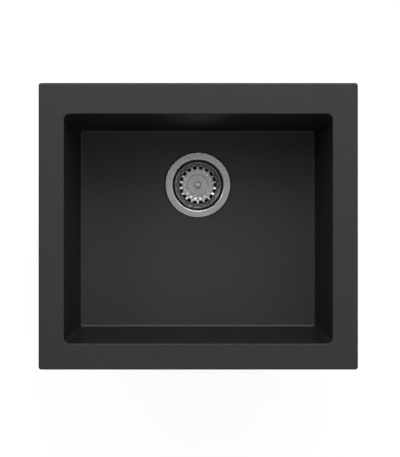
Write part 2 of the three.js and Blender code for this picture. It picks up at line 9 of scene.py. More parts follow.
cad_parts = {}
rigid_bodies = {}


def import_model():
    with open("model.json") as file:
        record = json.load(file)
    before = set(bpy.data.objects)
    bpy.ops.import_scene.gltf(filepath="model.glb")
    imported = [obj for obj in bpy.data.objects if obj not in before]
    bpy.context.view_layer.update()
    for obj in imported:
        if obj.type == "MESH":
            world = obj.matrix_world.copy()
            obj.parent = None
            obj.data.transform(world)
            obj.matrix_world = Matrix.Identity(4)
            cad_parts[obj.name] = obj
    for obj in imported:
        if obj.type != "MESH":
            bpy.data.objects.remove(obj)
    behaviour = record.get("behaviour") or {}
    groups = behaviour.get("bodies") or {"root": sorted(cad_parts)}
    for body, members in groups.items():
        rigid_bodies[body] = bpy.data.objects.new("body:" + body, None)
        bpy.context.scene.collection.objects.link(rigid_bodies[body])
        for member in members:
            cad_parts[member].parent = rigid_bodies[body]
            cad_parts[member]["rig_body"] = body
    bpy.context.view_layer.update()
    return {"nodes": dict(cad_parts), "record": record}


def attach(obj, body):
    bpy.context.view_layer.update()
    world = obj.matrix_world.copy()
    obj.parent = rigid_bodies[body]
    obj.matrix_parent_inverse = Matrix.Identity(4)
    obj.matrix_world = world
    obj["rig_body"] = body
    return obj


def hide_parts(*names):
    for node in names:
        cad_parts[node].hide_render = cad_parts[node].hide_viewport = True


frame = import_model()

# Lengths in this script are millimetres, as in the part. They become metres in add_mesh().
MM = 0.001

# ---------------------------------------------------------------- sizes of the part

RIM_WIDTH = 557
RIM_DEPTH = 500
RIM_THICKNESS = 11
RIM_CORNER = 5
RIM_TOP_ROUND = 3
RIM_UNDER_ROUND = 1.2
OPENING_WIDTH = 468.8
OPENING_DEPTH = 400.7
OPENING_Y = -4.25
OPENING_CORNER = 10
CORNER_TAPER = 0.02  # the opening's corners narrow by this much for each mm down, as far as LEAST_CORNER
LEAST_CORNER = 0.8
LIP_ROUND = 1.6
DRAFT = math.tan(math.radians(7.1))
FLOOR_Z = -200
FLOOR_EDGE_Z = -197
FLOOR_ROUND = 5
WALL_THICKNESS = 9
UNDER_Z = -210
UNDER_RIM_ROUND = 7

WASTE_Y = 73.862
WASTE_HOLE_R = 46.2
RECESS_R = 60.5
RECESS_Z = -202.6
FLANGE_R = 57.5
FLANGE_SHEET = 0.9
FLANGE_LIP_ROUND = 2.7
FLANGE_EDGE_WIDTH = 0.8
FLANGE_EDGE_FALL = 0.06
CUP_R = 45.3
CUP_FOOT_ROUND = 5
CUP_FLOOR_Z = -245.2
CUP_UNDER_Z = -246.1
DRAIN_HOLE_R = 4.6
DRAIN_HOLE_COUNT = 8
DRAIN_CIRCLE_R = 18

GASKET_Z = -214
BODY_BORE_R = 47.1
BODY_FLANGE_R = 58
BODY_FLANGE_THICKNESS = 4
BODY_WALL = 3
FUNNEL_TOP_Z = -247.1
OUTLET_TOP_Z = -259.1
OUTLET_END_Z = -286.1
OUTLET_R = 23.9
OUTLET_BORE_R = 20.5
OUTLET_THREAD_R = 22.8
OUTLET_PITCH = 2.3
RIB_COUNT = 12
RIB_TURN = 15
RIB_THICKNESS = 2.2
RIB_HEIGHT = 13
HUB_R = 12.5
HUB_END_Z = -262.1
ARM_COUNT = 4
ARM_TURN = 22.5
ARM_THICKNESS = 3.5
ARM_HEIGHT = 8

SCREW_R = 4.9
SCREW_END_Z = -265.1
SCREW_HEAD_R = 8.5
SCREW_HEAD_Z = -240.2
SCREW_WASHER_Z = -244.2
SCREW_WASHER_R = 10
SCREW_PITCH = 1.75
SCREW_SLOT_WIDTH = 1.8
SCREW_SLOT_DEPTH = 1.9
SCREW_SLOT_TURN = 35
CENTRE_NUT_FLATS = 16
CENTRE_NUT_HEIGHT = 8
STEM_BORE_Z = -256.2

BASKET_R = 41.4
BASKET_SHEET = 0.8
BASKET_TOP_Z = -203.4
BASKET_FLOOR_Z = -229.6
BASKET_RIM_ROUND = 0.55
BASKET_FLAT_R = 27.8
BASKET_EDGE_SLOPE = 20
BASKET_EDGE_WIDTH = 5
BASKET_FOOT_ROUND = 2.5
PANEL_R = 19.2
PANEL_Z = -230.4
PANEL_STEP = 0.8
SLOT_COUNT = 18
SLOT_WIDTH = 7.6
SLOT_CORNER = 1.6
SLOT_INSET = 0.7
SLOT_HEIGHT = 9
RAMP_START_R = 22.8
RAMP_END_R = 26.4
RAMP_HEIGHT = 0.9
RAMP_HALF_ANGLE = 6.5
RAMP_EASE_ANGLE = 3
STEM_R = 2.4
STEM_PITCH = 0.8
SOCKET_TOP_Z = -222
KNOB_R = 5.5
KNOB_NECK_R = 3.9
KNOB_FOOT_R = 5.9
KNOB_TOP_Z = -217.6
KNOB_FOOT_Z = -230
KNOB_DOME = 1.9
KNOB_FULLNESS = 0.92
KNOB_UNDERCUT = 1.6
BACKING_R = 12
BACKING_TOP_Z = -230.8
SEAL_TOP_Z = -231.8
SEAL_HUB_R = 11
SEAL_R = 34
SEAL_LIP_WIDTH = 8
SEAL_SKIRT = 1.9
SEAL_LIP_Z = -244.9
SUPPORT_TOP_Z = -235.8
SUPPORT_R = 8
LOCK_NUT_TOP_Z = -236.8
LOCK_NUT_END_Z = -239.4
LOCK_NUT_FLATS = 8

FIXING_SPREAD_X = 140
FIXING_SPREAD_Y = 120
FIXING_OUT = {"back": 231.05, "left": 264.45, "front": 235.3, "right": 264.45}
PAD_R = 8.5
PAD_Z = -14
INSERT_R = 3.8
INSERT_TOP_Z = -5
PLATE_HALF_WIDTH = 9.5
PLATE_REACH = 38
PLATE_UNDER_Z = -16.5
PLATE_SLOT_R = 3.3
PLATE_SLOT_REACH = 11.4
CLAMP_SCREW_R = 2.5
CLAMP_SCREW_TOP_Z = -5.5
CLAMP_HEAD_TOP_Z = -17.5
CLAMP_HEAD_END_Z = -20.7
CLAMP_HEAD_R = 4.7
CLAMP_WASHER_R = 6
CLAMP_SOCKET_FLATS = 4

GAP = 0.15
BORE_EASE = 0.3
NUT_TURNED_SHARE = 0.49
NUT_CHAMFER_SLOPE = 0.55

# ---------------------------------------------------------------- outlines

CAP_STEPS = 4


def arc(centre_a, centre_b, radius, from_degrees, to_degrees, steps=8):
    """Points of an arc in any plane, both ends included."""
    points = []
    for i in range(steps + 1):
        angle = math.radians(from_degrees + (to_degrees - from_degrees) * i / steps)
        points.append((centre_a + radius * math.cos(angle), centre_b + radius * math.sin(angle)))
    return points


def eased(corners, steps=4):
    """A closed outline from corners (a, b, round). Each round is tangent to both sides."""
    outline = []
    for i, (a, b, radius) in enumerate(corners):
        if radius == 0:
            outline.append((a, b))
            continue
        corner = Vector((a, b))
        before = (Vector(corners[i - 1][:2]) - corner).normalized()
        after = (Vector(corners[(i + 1) % len(corners)][:2]) - corner).normalized()
        half = before.angle(after) / 2
        centre = corner + (before + after).normalized() * (radius / math.sin(half))
        start = corner + before * (radius / math.tan(half)) - centre
        end = corner + after * (radius / math.tan(half)) - centre
        from_angle = math.atan2(start.y, start.x)
        turn = math.atan2(start.x * end.y - start.y * end.x, start.dot(end))
        for k in range(steps + 1):
            angle = from_angle + turn * k / steps
            outline.append((centre.x + radius * math.cos(angle), centre.y + radius * math.sin(angle)))
    return outline


def sheet_outline(middle, thickness):
    """The outline of a bent sheet with rounded ends, from the line through its middle."""
    half = thickness / 2
    tangents = []
    for i in range(len(middle)):
        before = Vector(middle[max(i - 1, 0)])
        after = Vector(middle[min(i + 1, len(middle) - 1)])
        tangents.append((after - before).normalized())

    def side(sign):
        return [(p[0] - sign * t.y * half, p[1] + sign * t.x * half) for p, t in zip(middle, tangents)]

    def cap(point, tangent):
        base = math.atan2(tangent.x, -tangent.y)
        return [
            (point[0] + half * math.cos(base - math.pi * k / CAP_STEPS),
             point[1] + half * math.sin(base - math.pi * k / CAP_STEPS))
            for k in range(1, CAP_STEPS)
        ]

    return side(1) + cap(middle[-1], tangents[-1]) + side(-1)[::-1] + cap(middle[0], -tangents[0])


# ---------------------------------------------------------------- meshes

CORNER_STEPS = 10
SIDE_STEPS = 20
FILL_PRECISION = 1e-6

# A thread's rows of points per turn, and its profile: how wide its crest is and how steep its flanks are.
THREAD_ROWS = 8
THREAD_CREST = 1.7
THREAD_FLANK = 4.2


class Shape:
    """Points and faces in millimetres."""

    def __init__(self):
        self.points = []
        self.faces = []

    def add(self, points, faces):
        base = len(self.points)
        self.points += [tuple(p) for p in points]
        self.faces += [tuple(base + i for i in face) for face in faces]
        return self

    def join(self, other, turn=0.0, move=(0, 0, 0)):
        """Adds another shape, turned about Z by degrees and then moved."""
        matrix = Matrix.Translation(move) @ Matrix.Rotation(math.radians(turn), 4, "Z")
        return self.add([matrix @ Vector(p) for p in other.points], other.faces)


def lofted(rings, closed=True):
    """A skin through rings of equal counts. When closed, the last ring joins the first."""
    shape = Shape()
    count = len(rings[0])
    faces = []
    for i in range(len(rings) if closed else len(rings) - 1):
        low = i * count
        high = (i + 1) % len(rings) * count
        for k in range(count):
            after = (k + 1) % count
            faces.append((low + k, low + after, high + after, high + k))
    return shape.add([p for ring in rings for p in ring], faces)


def circle(radius, z, steps, y=0.0):
    angles = [2 * math.pi * i / steps for i in range(steps)]
    return [(radius * math.cos(a), y + radius * math.sin(a), z) for a in angles]


def circles(profile, steps, y=0.0):
    """A circle for each (radius, z)."""
    return [circle(radius, z, steps, y) for radius, z in profile]


def lathed(outline, steps=96):
    """A solid of revolution about Z. Points on the axis close it."""
    return lofted(circles(outline, steps))


def ring_of(shape, count, turn=0.0):
    """Copies of a shape, spread evenly about Z."""
    spun = Shape()
    for i in range(count):
        spun.join(shape, turn + 360 * i / count)
    return spun


def hexagon_ring(flats, z, steps, limit=math.inf):
    """Points round a hexagon, with its corners cut off at the radius `limit`."""
    sixth = math.pi / 3
    ring = []
    for i in range(steps):
        angle = 2 * math.pi * i / steps
        radius = min(limit, flats / 2 / math.cos((angle + sixth / 2) % sixth - sixth / 2))
        ring.append((radius * math.cos(angle), radius * math.sin(angle), z))
    return ring


def rectangle_ring(width, depth, radius, z, y=0.0):
    """Points round a rectangle with round corners, anticlockwise from above."""
    corners = []
    for k, (sign_x, sign_y) in enumerate(((1, 1), (-1, 1), (-1, -1), (1, -1))):
        centre = (sign_x * (width / 2 - radius), y + sign_y * (depth / 2 - radius))
        corners.append(arc(*centre, radius, 90 * k, 90 * k + 90, CORNER_STEPS))
    ring = []
    for k, corner in enumerate(corners):
        start, end = Vector(corner[-1]), Vector(corners[(k + 1) % 4][0])
        ring += corner + [tuple(start.lerp(end, i / SIDE_STEPS)) for i in range(1, SIDE_STEPS)]
    return [(*point, z) for point in ring]


def stadium(from_x, to_x, radius, steps=24):
    """A bar with round ends along X, anticlockwise from above."""
    right = arc(to_x, 0, radius, -90, 90, steps)
    left = arc(from_x, 0, radius, 90, 270, steps)
    return right + left


def loop_edges(loops):
    """The points of closed loops, and the edges along them."""
    points = []
    edges = []
    for loop in loops:
        base = len(points)
        points += [Vector(p[:2]) for p in loop]
        edges += [(base + i, base + (i + 1) % len(loop)) for i in range(len(loop))]
    return points, edges


def middle_of(face, points):
    return sum((points[i] for i in face), Vector((0, 0))) / len(face)


def inside(point, loop):
    hit = False
    x, y = point
    for i in range(len(loop)):
        ax, ay = loop[i]
        bx, by = loop[i - 1]
        if (ay > y) != (by > y) and x < (bx - ax) * (y - ay) / (by - ay) + ax:
            hit = not hit
    return hit


def bevelled_plate(outline, holes, low, high, bevel):
    """A flat plate with eased edges. Outline and holes take how far they move out of the metal."""
    shape = Shape()
    levels = ((low, -bevel), (low + bevel, 0.0), (high - bevel, 0.0), (high, -bevel))
    for make in (outline, *holes):
        shape.join(lofted([[(x, y, z) for x, y in make(out)] for z, out in levels], closed=False))
    loops = [make(-bevel) for make in (outline, *holes)]
    points, _, faces = delaunay_2d_cdt(*loop_edges(loops), [], 0, FILL_PRECISION)[:3]
    kept = []
    for face in faces:
        middle = middle_of(face, points)
        if inside(middle, loops[0]) and not any(inside(middle, hole) for hole in loops[1:]):
            kept.append(face)
    for z in (low, high):
        shape.add([(p.x, p.y, z) for p in points], kept)
    return shape


def prism(rings):
    """A straight solid between two rings."""
    shape = lofted(rings, closed=False)
    count = len(rings[0])
    shape.faces += [tuple(range(count))[::-1], tuple(range(count, 2 * count))]
    return shape


def column(outline, low, high):
    """An upright bar, from its closed outline of (x, y)."""
    return prism([[(x, y, z) for x, y in outline] for z in (low, high)])


def web(outline, thickness):
    """A flat plate that stands up in the plane of X and Z, from its closed outline of (x, z)."""
    return prism([[(x, y, z) for x, z in outline] for y in (-thickness / 2, thickness / 2)])


def threaded(root, crest, pitch, low, high, around, lead):
    """The rings of a screw thread, which runs out over `lead` at both ends."""
    rows = max(2, round((high - low) / pitch * THREAD_ROWS))
    rings = []
    for row in range(rows + 1):
        z = low + (high - low) * row / rows
        fade = max(0.0, min(1.0, (z - low) / lead, (high - z) / lead))
        ring = []
        for k in range(around):
            turn = k / around
            wave = abs((z / pitch - turn) % 1.0 - 0.5)
            height = max(0.0, min(1.0, THREAD_CREST - wave * THREAD_FLANK))
            radius = root + (crest - root) * height * fade
            ring.append((radius * math.cos(2 * math.pi * turn), radius * math.sin(2 * math.pi * turn), z))
        rings.append(ring)
    return rings


# ---------------------------------------------------------------- pieces in the scene

SLOT_OF = {entry["node"]: entry["material_slot"] for entry in frame["record"]["subparts"]}

# In metres: points nearer than this are one, edges shorter than this go, and so do faces smaller than this.
WELD = 1e-7
LEAST_EDGE = 1e-8
LEAST_AREA = 1e-13

SHARP_ANGLE = math.radians(32)
BEVEL_ANGLE = math.radians(35)
FACE_AREA_WEIGHT = 100


def add_mesh(name, shape):
    """A mesh object from a shape: welded, shaded smooth but for its sharp edges."""
    mesh = bpy.data.meshes.new(name)
    mesh.from_pydata([Vector(p) * MM for p in shape.points], [], shape.faces)
    work = bmesh.new()
    work.from_mesh(mesh)
    bmesh.ops.remove_doubles(work, verts=work.verts, dist=WELD)
    bmesh.ops.dissolve_degenerate(work, edges=work.edges, dist=LEAST_EDGE)
    bmesh.ops.recalc_face_normals(work, faces=work.faces)
    work.to_mesh(mesh)
    work.free()
    piece = bpy.data.objects.new(name, mesh)
    bpy.context.scene.collection.objects.link(piece)
    finish_shading(piece)
    return piece


def finish_shading(piece):
    """Smooth, but for the edges where faces meet at more than the sharp angle."""
    piece.data.shade_smooth()
    piece.data.set_sharp_from_angle(angle=SHARP_ANGLE)


def cut(piece, cutters):
    """Takes the cutters' shape out of a piece, for good."""
    tool = add_mesh("cutter", cutters)
    modifier = piece.modifiers.new("cut", "BOOLEAN")
    modifier.operation = "DIFFERENCE"
    modifier.solver = "EXACT"
    modifier.object = tool
    apply_modifiers(piece)
    bpy.data.objects.remove(tool)
    finish_shading(piece)


def drop_slivers(piece):
    """Takes away the faces without area that a cut leaves where its edge runs along the mesh's own."""
    work = bmesh.new()
    work.from_mesh(piece.data)
    slivers = [face for face in work.faces if face.calc_area() < LEAST_AREA]
    bmesh.ops.delete(work, geom=slivers, context="FACES")
    bmesh.ops.remove_doubles(work, verts=work.verts, dist=WELD)
    work.to_mesh(piece.data)
    work.free()
    finish_shading(piece)


def apply_modifiers(piece):
    graph = bpy.context.evaluated_depsgraph_get()
    result = bpy.data.meshes.new_from_object(piece.evaluated_get(graph))
    piece.modifiers.clear()
    old = piece.data
    piece.data = result
    bpy.data.meshes.remove(old)


def bevel(piece, width):
    modifier = piece.modifiers.new("edges", "BEVEL")
    modifier.width = width * MM
    modifier.segments = 2
    modifier.limit_method = "ANGLE"
    modifier.angle_limit = BEVEL_ANGLE
    modifier.use_clamp_overlap = True
    apply_modifiers(piece)


def merge(piece, other):
    """Adds another object's mesh to a piece and removes that object."""
    work = bmesh.new()
    work.from_mesh(piece.data)
    work.from_mesh(other.data)
    work.to_mesh(piece.data)
    work.free()
    bpy.data.objects.remove(other)
    finish_shading(piece)


def dress(piece, node):
    """Puts a piece in the place of a CAD node, on that node's body and with its finish."""
    even = piece.modifiers.new("even_shading", "WEIGHTED_NORMAL")
    even.weight = FACE_AREA_WEIGHT
    even.keep_sharp = True
    piece.data.materials.clear()
    piece.data.materials.append(MATERIALS[SLOT_OF[node]])
    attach(piece, frame["nodes"][node]["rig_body"])
    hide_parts(node)


# ---------------------------------------------------------------- materials

BLACK = (0, 0, 0)
WHITE = (1, 1, 1)

# Nearly all values of a noise texture lie between these two.
NOISE_LOW = 0.3
NOISE_HIGH = 0.7

# How far up a face looks, from 0 for upright to 1 for level: steep below the first, level above the second.
# These bound the painted shade on steep faces.
STEEP_BELOW = 0.25
LEVEL_ABOVE = 0.8


class Graph:
    """Short calls for the nodes of a material or a world."""

    def __init__(self, owner, shader="Principled BSDF"):
        owner.use_nodes = True
        self.owner = owner
        self.tree = owner.node_tree
        self.shader = self.tree.nodes[shader]

    def feed(self, socket, value):
        """Gives a socket another node's output, a number, a vector or a colour."""
        if isinstance(value, bpy.types.NodeSocket):
            self.tree.links.new(value, socket)
        else:
            socket.default_value = (*value, 1) if socket.type == "RGBA" else value

    def node(self, kind, inputs=None, **settings):
        """The outputs of a new node. Its inputs go by their name or number."""
        made = self.tree.nodes.new(kind)
        for key, value in settings.items():
            setattr(made, key, value)
        for key, value in (inputs or {}).items():
            self.feed(made.inputs[key], value)
        return made.outputs

    def finish(self, **values):
        """Feeds the shader, and returns the material or world."""
        for key, value in values.items():
            self.feed(self.shader.inputs[key.replace("_", " ")], value)
        return self.owner

    def place(self, middle_y=0.0):
        """Object coordinates in metres, counted from a place on the Y axis."""
        where = self.node("ShaderNodeTexCoord")["Object"]
        if not middle_y:
            return where
        return self.node("ShaderNodeVectorMath", {0: where, 1: (0, -middle_y * MM, 0)}, operation="ADD")[0]

    def parts(self, vector):
        """The X, Y and Z of a vector."""
        return self.node("ShaderNodeSeparateXYZ", {0: vector})

    def noise(self, where, scale, detail=2.0, roughness=0.5):
        return self.node("ShaderNodeTexNoise", {
            "Vector": where, "Scale": scale, "Detail": detail, "Roughness": roughness})["Fac"]

    def cells(self, where, scale):
        """One random value per cell of a Voronoi pattern, and the distance from the cell's middle."""
        made = self.node("ShaderNodeTexVoronoi", {"Vector": where, "Scale": scale})
        return self.node("ShaderNodeSeparateColor", {0: made["Color"]})[0], made["Distance"]

    def math(self, operation, first, second):
        return self.node("ShaderNodeMath", {0: first, 1: second}, operation=operation)[0]

    def weigh(self, first, share, second):
        """The sum of `share` of the first value and the rest of the second."""
        return self.math("ADD", self.math("MULTIPLY", first, share), self.math("MULTIPLY", second, 1 - share))

    def remap(self, value, from_low, from_high, to_low, to_high):
        return self.node("ShaderNodeMapRange", {
            "Value": value, "From Min": from_low, "From Max": from_high, "To Min": to_low, "To Max": to_high,
        })["Result"]

    def spread(self, noise, low, high):
        """A noise's usual values, spread from low to high."""
        return self.remap(noise, NOISE_LOW, NOISE_HIGH, low, high)

    def blend(self, factor, low, high):
        """A colour between two colours."""
        return self.node("ShaderNodeMix", {0: factor, 6: low, 7: high}, data_type="RGBA")[2]

    def between(self, factor, low, high):
        """A number between two numbers."""
        return self.node("ShaderNodeMix", {0: factor, 2: low, 3: high})[0]

    def bump(self, height, distance, strength=1.0, **more):
        return self.node("ShaderNodeBump", {
            "Height": height, "Strength": strength, "Distance": distance * MM, **more})["Normal"]

    def rings(self, where, across, along):
        """Coordinates for marks that run round the Z axis: fine across them, long along them."""
        flat = self.node("ShaderNodeVectorMath", {0: where, 1: (1, 1, 0)}, operation="MULTIPLY")[0]
        reach = self.node("ShaderNodeVectorMath", {0: flat}, operation="LENGTH")["Value"]
        unit = self.parts(self.node("ShaderNodeVectorMath", {0: flat}, operation="NORMALIZE")[0])
        marks = self.math("ADD", self.math("MULTIPLY", reach, across),
                          self.math("MULTIPLY", self.parts(where)[2], across))
        return self.node("ShaderNodeCombineXYZ", {
            0: marks,
            1: self.math("MULTIPLY", unit[0], along),
            2: self.math("MULTIPLY", unit[1], along),
        })[0]

    def shade_steep_faces(self, colour, less):
        """Painted shade: faces that look up keep their colour, steep faces are darker, as if less light fell
        on them.
        """
        up = self.parts(self.node("ShaderNodeNewGeometry")["Normal"])[2]
        return self.blend(self.remap(up, STEEP_BELOW, LEVEL_ABOVE, less, 0), colour, BLACK)

    def painted_shade_above(self, where, colour, low, high, share):
        """Painted shade: the colour gets darker by `share` from the height `low` to the height `high`."""
        height = self.parts(where)[2]
        return self.blend(self.remap(height, low * MM, high * MM, 0, share), colour, BLACK)


COMPOSITE_DARK = (0.0272, 0.0290, 0.0279)
COMPOSITE_PALE = (0.0376, 0.0402, 0.0387)
COMPOSITE_FLECK = (0.052, 0.055, 0.053)
COMPOSITE_ROUGHNESS = 0.45
COMPOSITE_SPECULAR = 0.28
# Share of its colour that a steep face of the composite keeps: painted shade on the bowl's walls.
STEEP_FACE_SHADE = 0.29
GRAIN_SCALE = 1100
SPECK_SCALE = 2600
CLOUD_SCALE = 9
FLECK_RANGE = (0.965, 0.985)


def composite():
    """Dark granite composite: fine mineral grain in matt resin, with a few paler grains."""
    graph = Graph(bpy.data.materials.new("granite_composite"))
    where = graph.place()
    grain, edge = graph.cells(where, GRAIN_SCALE)
    specks = graph.noise(where, SPECK_SCALE)
    clouds = graph.noise(where, CLOUD_SCALE, 3)
    mixed = graph.weigh(grain, 0.6, specks)
    colour = graph.blend(graph.remap(mixed, 0.2, 0.85, 0, 1), COMPOSITE_DARK, COMPOSITE_PALE)
    colour = graph.blend(graph.remap(grain, *FLECK_RANGE, 0, 1), colour, COMPOSITE_FLECK)
    colour = graph.blend(graph.spread(clouds, 0, 0.10), colour, COMPOSITE_PALE)
    return graph.finish(
        # The walls and other steep faces of the composite are darkened: painted shade.
        Base_Color=graph.shade_steep_faces(colour, 1 - STEEP_FACE_SHADE),
        Roughness=graph.spread(specks, COMPOSITE_ROUGHNESS - 0.05, COMPOSITE_ROUGHNESS + 0.05),
        Specular_IOR_Level=COMPOSITE_SPECULAR,
        Normal=graph.bump(edge, 0.03, 0.5, Normal=graph.bump(specks, 0.02)),
    )


# Long marks that run most of the way round the waste's axis, and shorter and finer ones.
LINE_LENGTH = 2.2
ARC_LENGTH = 5
ARC_FINENESS = 2.7
SMUDGE_SCALE = 55
MARK_TONES = (0.86, 1.1)


def turned_steel(name, colour, roughness, across, depth, anisotropic, smudge=0.05, steep=1.0, rim=None):
    """Steel with marks that run round the waste's axis. Steep faces can be darkened as painted shade, and so
    can the top of a piece.
    """
    graph = Graph(bpy.data.materials.new(name))
    where = graph.place(WASTE_Y)
    lines = graph.noise(graph.rings(where, across, LINE_LENGTH), 1, 3, 0.6)
    arcs = graph.noise(graph.rings(where, across * ARC_FINENESS, ARC_LENGTH), 1)
    clouds = graph.noise(where, SMUDGE_SCALE, 3)
    marks = graph.weigh(lines, 0.65, arcs)
    dark, pale = (tuple(c * share for c in colour) for share in MARK_TONES)
    tone = graph.blend(graph.spread(marks, 0, 1), dark, pale)
    # Painted shade on steep faces, here the basket's wall.
    if steep < 1:
        tone = graph.shade_steep_faces(tone, 1 - steep)
    # Painted shade on the top of the piece, here the basket's rolled rim, which dims its bright line.
    if rim:
        tone = graph.painted_shade_above(where, tone, *rim)
    if anisotropic:
        around = graph.node("ShaderNodeTangent", direction_type="RADIAL", axis="Z")[0]
        graph.finish(Anisotropic=anisotropic, Tangent=around)
    return graph.finish(
        Base_Color=tone,
        Metallic=1.0,
        Roughness=graph.math("ADD", graph.spread(marks, roughness - 0.04, roughness + 0.05),
                             graph.remap(clouds, 0.35, 0.7, 0, smudge)),
        Normal=graph.bump(marks, depth),
    )


def even_surface(name, dark, pale, roughness, grain_scale, depth, metal=False):
    """Metal, rubber or plastic with a fine even grain and soft patches."""
    graph = Graph(bpy.data.materials.new(name))
    where = graph.place()
    grain = graph.noise(where, grain_scale, 3)
    patches = graph.noise(where, 130, 3) if metal else graph.noise(where, 60)
    return graph.finish(
        Base_Color=graph.blend(graph.spread(patches, 0, 1), dark, pale),
        Metallic=1.0 if metal else 0.0,
        Roughness=graph.spread(grain, roughness - 0.06, roughness + (0.08 if metal else 0.06)),
        Normal=graph.bump(grain, depth),
    )


MATERIALS = {
    "composite": composite(),
    "flange_steel": turned_steel("brushed_flange", (0.575, 0.575, 0.58), 0.24, 800, 0.004, 0.25),
    # The basket's steep wall and its rolled rim carry painted shade.
    "basket_steel": turned_steel("spun_basket", (0.57, 0.57, 0.575), 0.27, 700, 0.006, 0.35,
                                 steep=0.6, rim=(BASKET_TOP_Z - 2, BASKET_TOP_Z - 1, 0.5)),
    "knob_steel": turned_steel("polished_knob", (0.56, 0.56, 0.565), 0.40, 3000, 0.002, 0.0, 0.02),
    "fastener_steel": turned_steel("bright_steel", (0.60, 0.60, 0.60), 0.24, 3400, 0.004, 0.0),
    "zinc": even_surface("zinc_plate", (0.50, 0.53, 0.56), (0.63, 0.65, 0.67), 0.36, 1900, 0.008, metal=True),
    "brass": even_surface("brass", (0.60, 0.44, 0.20), (0.72, 0.55, 0.28), 0.30, 2400, 0.004, metal=True),
    "rubber": even_surface("black_rubber", (0.020, 0.020, 0.021), (0.033, 0.033, 0.034), 0.60, 1300, 0.02),
    "body_plastic": even_surface("moulded_polypropylene", (0.62, 0.62, 0.585), (0.72, 0.72, 0.69),
                                 0.42, 900, 0.012),
    "washer_plastic": even_surface("nylon", (0.62, 0.60, 0.53), (0.72, 0.70, 0.63), 0.38, 1200, 0.008),
}

# ---------------------------------------------------------------- sink bowl

HALF_FLOOR_X = OPENING_WIDTH / 2 + FLOOR_EDGE_Z * DRAFT - FLOOR_ROUND
FLOOR_BACK_Y = OPENING_Y + OPENING_DEPTH / 2 + FLOOR_EDGE_Z * DRAFT - FLOOR_ROUND
FLOOR_FRONT_Y = OPENING_Y - OPENING_DEPTH / 2 - FLOOR_EDGE_Z * DRAFT + FLOOR_ROUND
FLOOR_BLEND = 0.05

# The recess's edge is eased by this much, as far as RECESS_EDGE_R.
RECESS_EASE = 0.6
RECESS_EDGE_R = RECESS_R + RECESS_EASE
RECESS_STEPS = 192

# The floor and the underside are skinned with small triangles. Their points lie on circles round the waste,
# given by their distance from its hole and their number, and farther out in rows, with a margin at the edge.
SKIN_CIRCLES = ((2, 144), (6, 108), (12, 84), (20, 72))
SKIN_CLEAR = 26
SKIN_SPACING = 9
SKIN_MARGIN = 3
CHORD_SHARE = 0.9998  # of the hole's radius: a triangle with its middle nearer than this lies in the hole

# The flat faces begin this far from their rounded edges, which keeps their shading flat.
FLAT_INSET = 1
UNDERSIDE_INSET = 1.5

PAD_COVE = 1.5
PAD_EASE = 0.4
PAD_SUNK = 0.2


def floor_height(x, y):
    """The floor falls to the waste from each wall. The four falls run softly into each other."""
    shares = (
        (HALF_FLOOR_X - x) / HALF_FLOOR_X,
        (HALF_FLOOR_X + x) / HALF_FLOOR_X,
        (FLOOR_BACK_Y - y) / (FLOOR_BACK_Y - WASTE_Y),
        (y - FLOOR_FRONT_Y) / (WASTE_Y - FLOOR_FRONT_Y),
    )
    least = -FLOOR_BLEND * math.log(sum(math.exp(-share / FLOOR_BLEND) for share in shares))
    return FLOOR_EDGE_Z + (FLOOR_Z - FLOOR_EDGE_Z) * max(0.0, least)


def wall_ring(z, out):
    """A ring of the bowl's wall at height z, moved out of the wall line by `out`."""
    moved = out + z * DRAFT
    corner = max(LEAST_CORNER, OPENING_CORNER + out + z * CORNER_TAPER)
    return rectangle_ring(OPENING_WIDTH + 2 * moved, OPENING_DEPTH + 2 * moved, corner, z, OPENING_Y)


def rim_ring(z, out):
    return rectangle_ring(RIM_WIDTH + 2 * out, RIM_DEPTH + 2 * out, RIM_CORNER + out, z)


def skin_round_waste(edge, hole_r, height):
    """Small triangles between a level edge and a circle round the waste, at height(x, y)."""
    half_x = max(p[0] for p in edge) - SKIN_MARGIN
    front_y = min(p[1] for p in edge)
    back_y = max(p[1] for p in edge) - SKIN_MARGIN
    points, edges = loop_edges([edge, circle(hole_r, 0, RECESS_STEPS, WASTE_Y)])
    for extra, steps in SKIN_CIRCLES:
        points += [Vector(p[:2]) for p in circle(hole_r + extra, 0, steps, WASTE_Y) if p[1] < back_y]
    across = int(half_x // SKIN_SPACING)
    for i in range(-across, across + 1):
        x = i * SKIN_SPACING
        y = front_y + SKIN_SPACING / 2
        while y < back_y:
            if abs(x) < half_x and math.hypot(x, y - WASTE_Y) > hole_r + SKIN_CLEAR:
                points.append(Vector((x, y)))
            y += SKIN_SPACING
    flat, _, faces = delaunay_2d_cdt(points, edges, [], 1, FILL_PRECISION)[:3]
    middles = [middle_of(face, flat) for face in faces]
    kept = [face for face, middle in zip(faces, middles)
            if math.hypot(middle.x, middle.y - WASTE_Y) > hole_r * CHORD_SHARE]
    return Shape().add([(p.x, p.y, height(p.x, p.y)) for p in flat], kept)


def recess_ring(radius, drop):
    """A ring round the waste that runs `drop` below the floor beside the recess."""
    ring = circle(radius, 0, RECESS_STEPS, WASTE_Y)
    beside = circle(RECESS_EDGE_R, 0, RECESS_STEPS, WASTE_Y)
    return [(p[0], p[1], floor_height(q[0], q[1]) - drop) for p, q in zip(ring, beside)]


def rounded(ring, *arc_values):
    """The rings along an arc of (out, z)."""
    return [ring(z, out) for out, z in arc(*arc_values)]


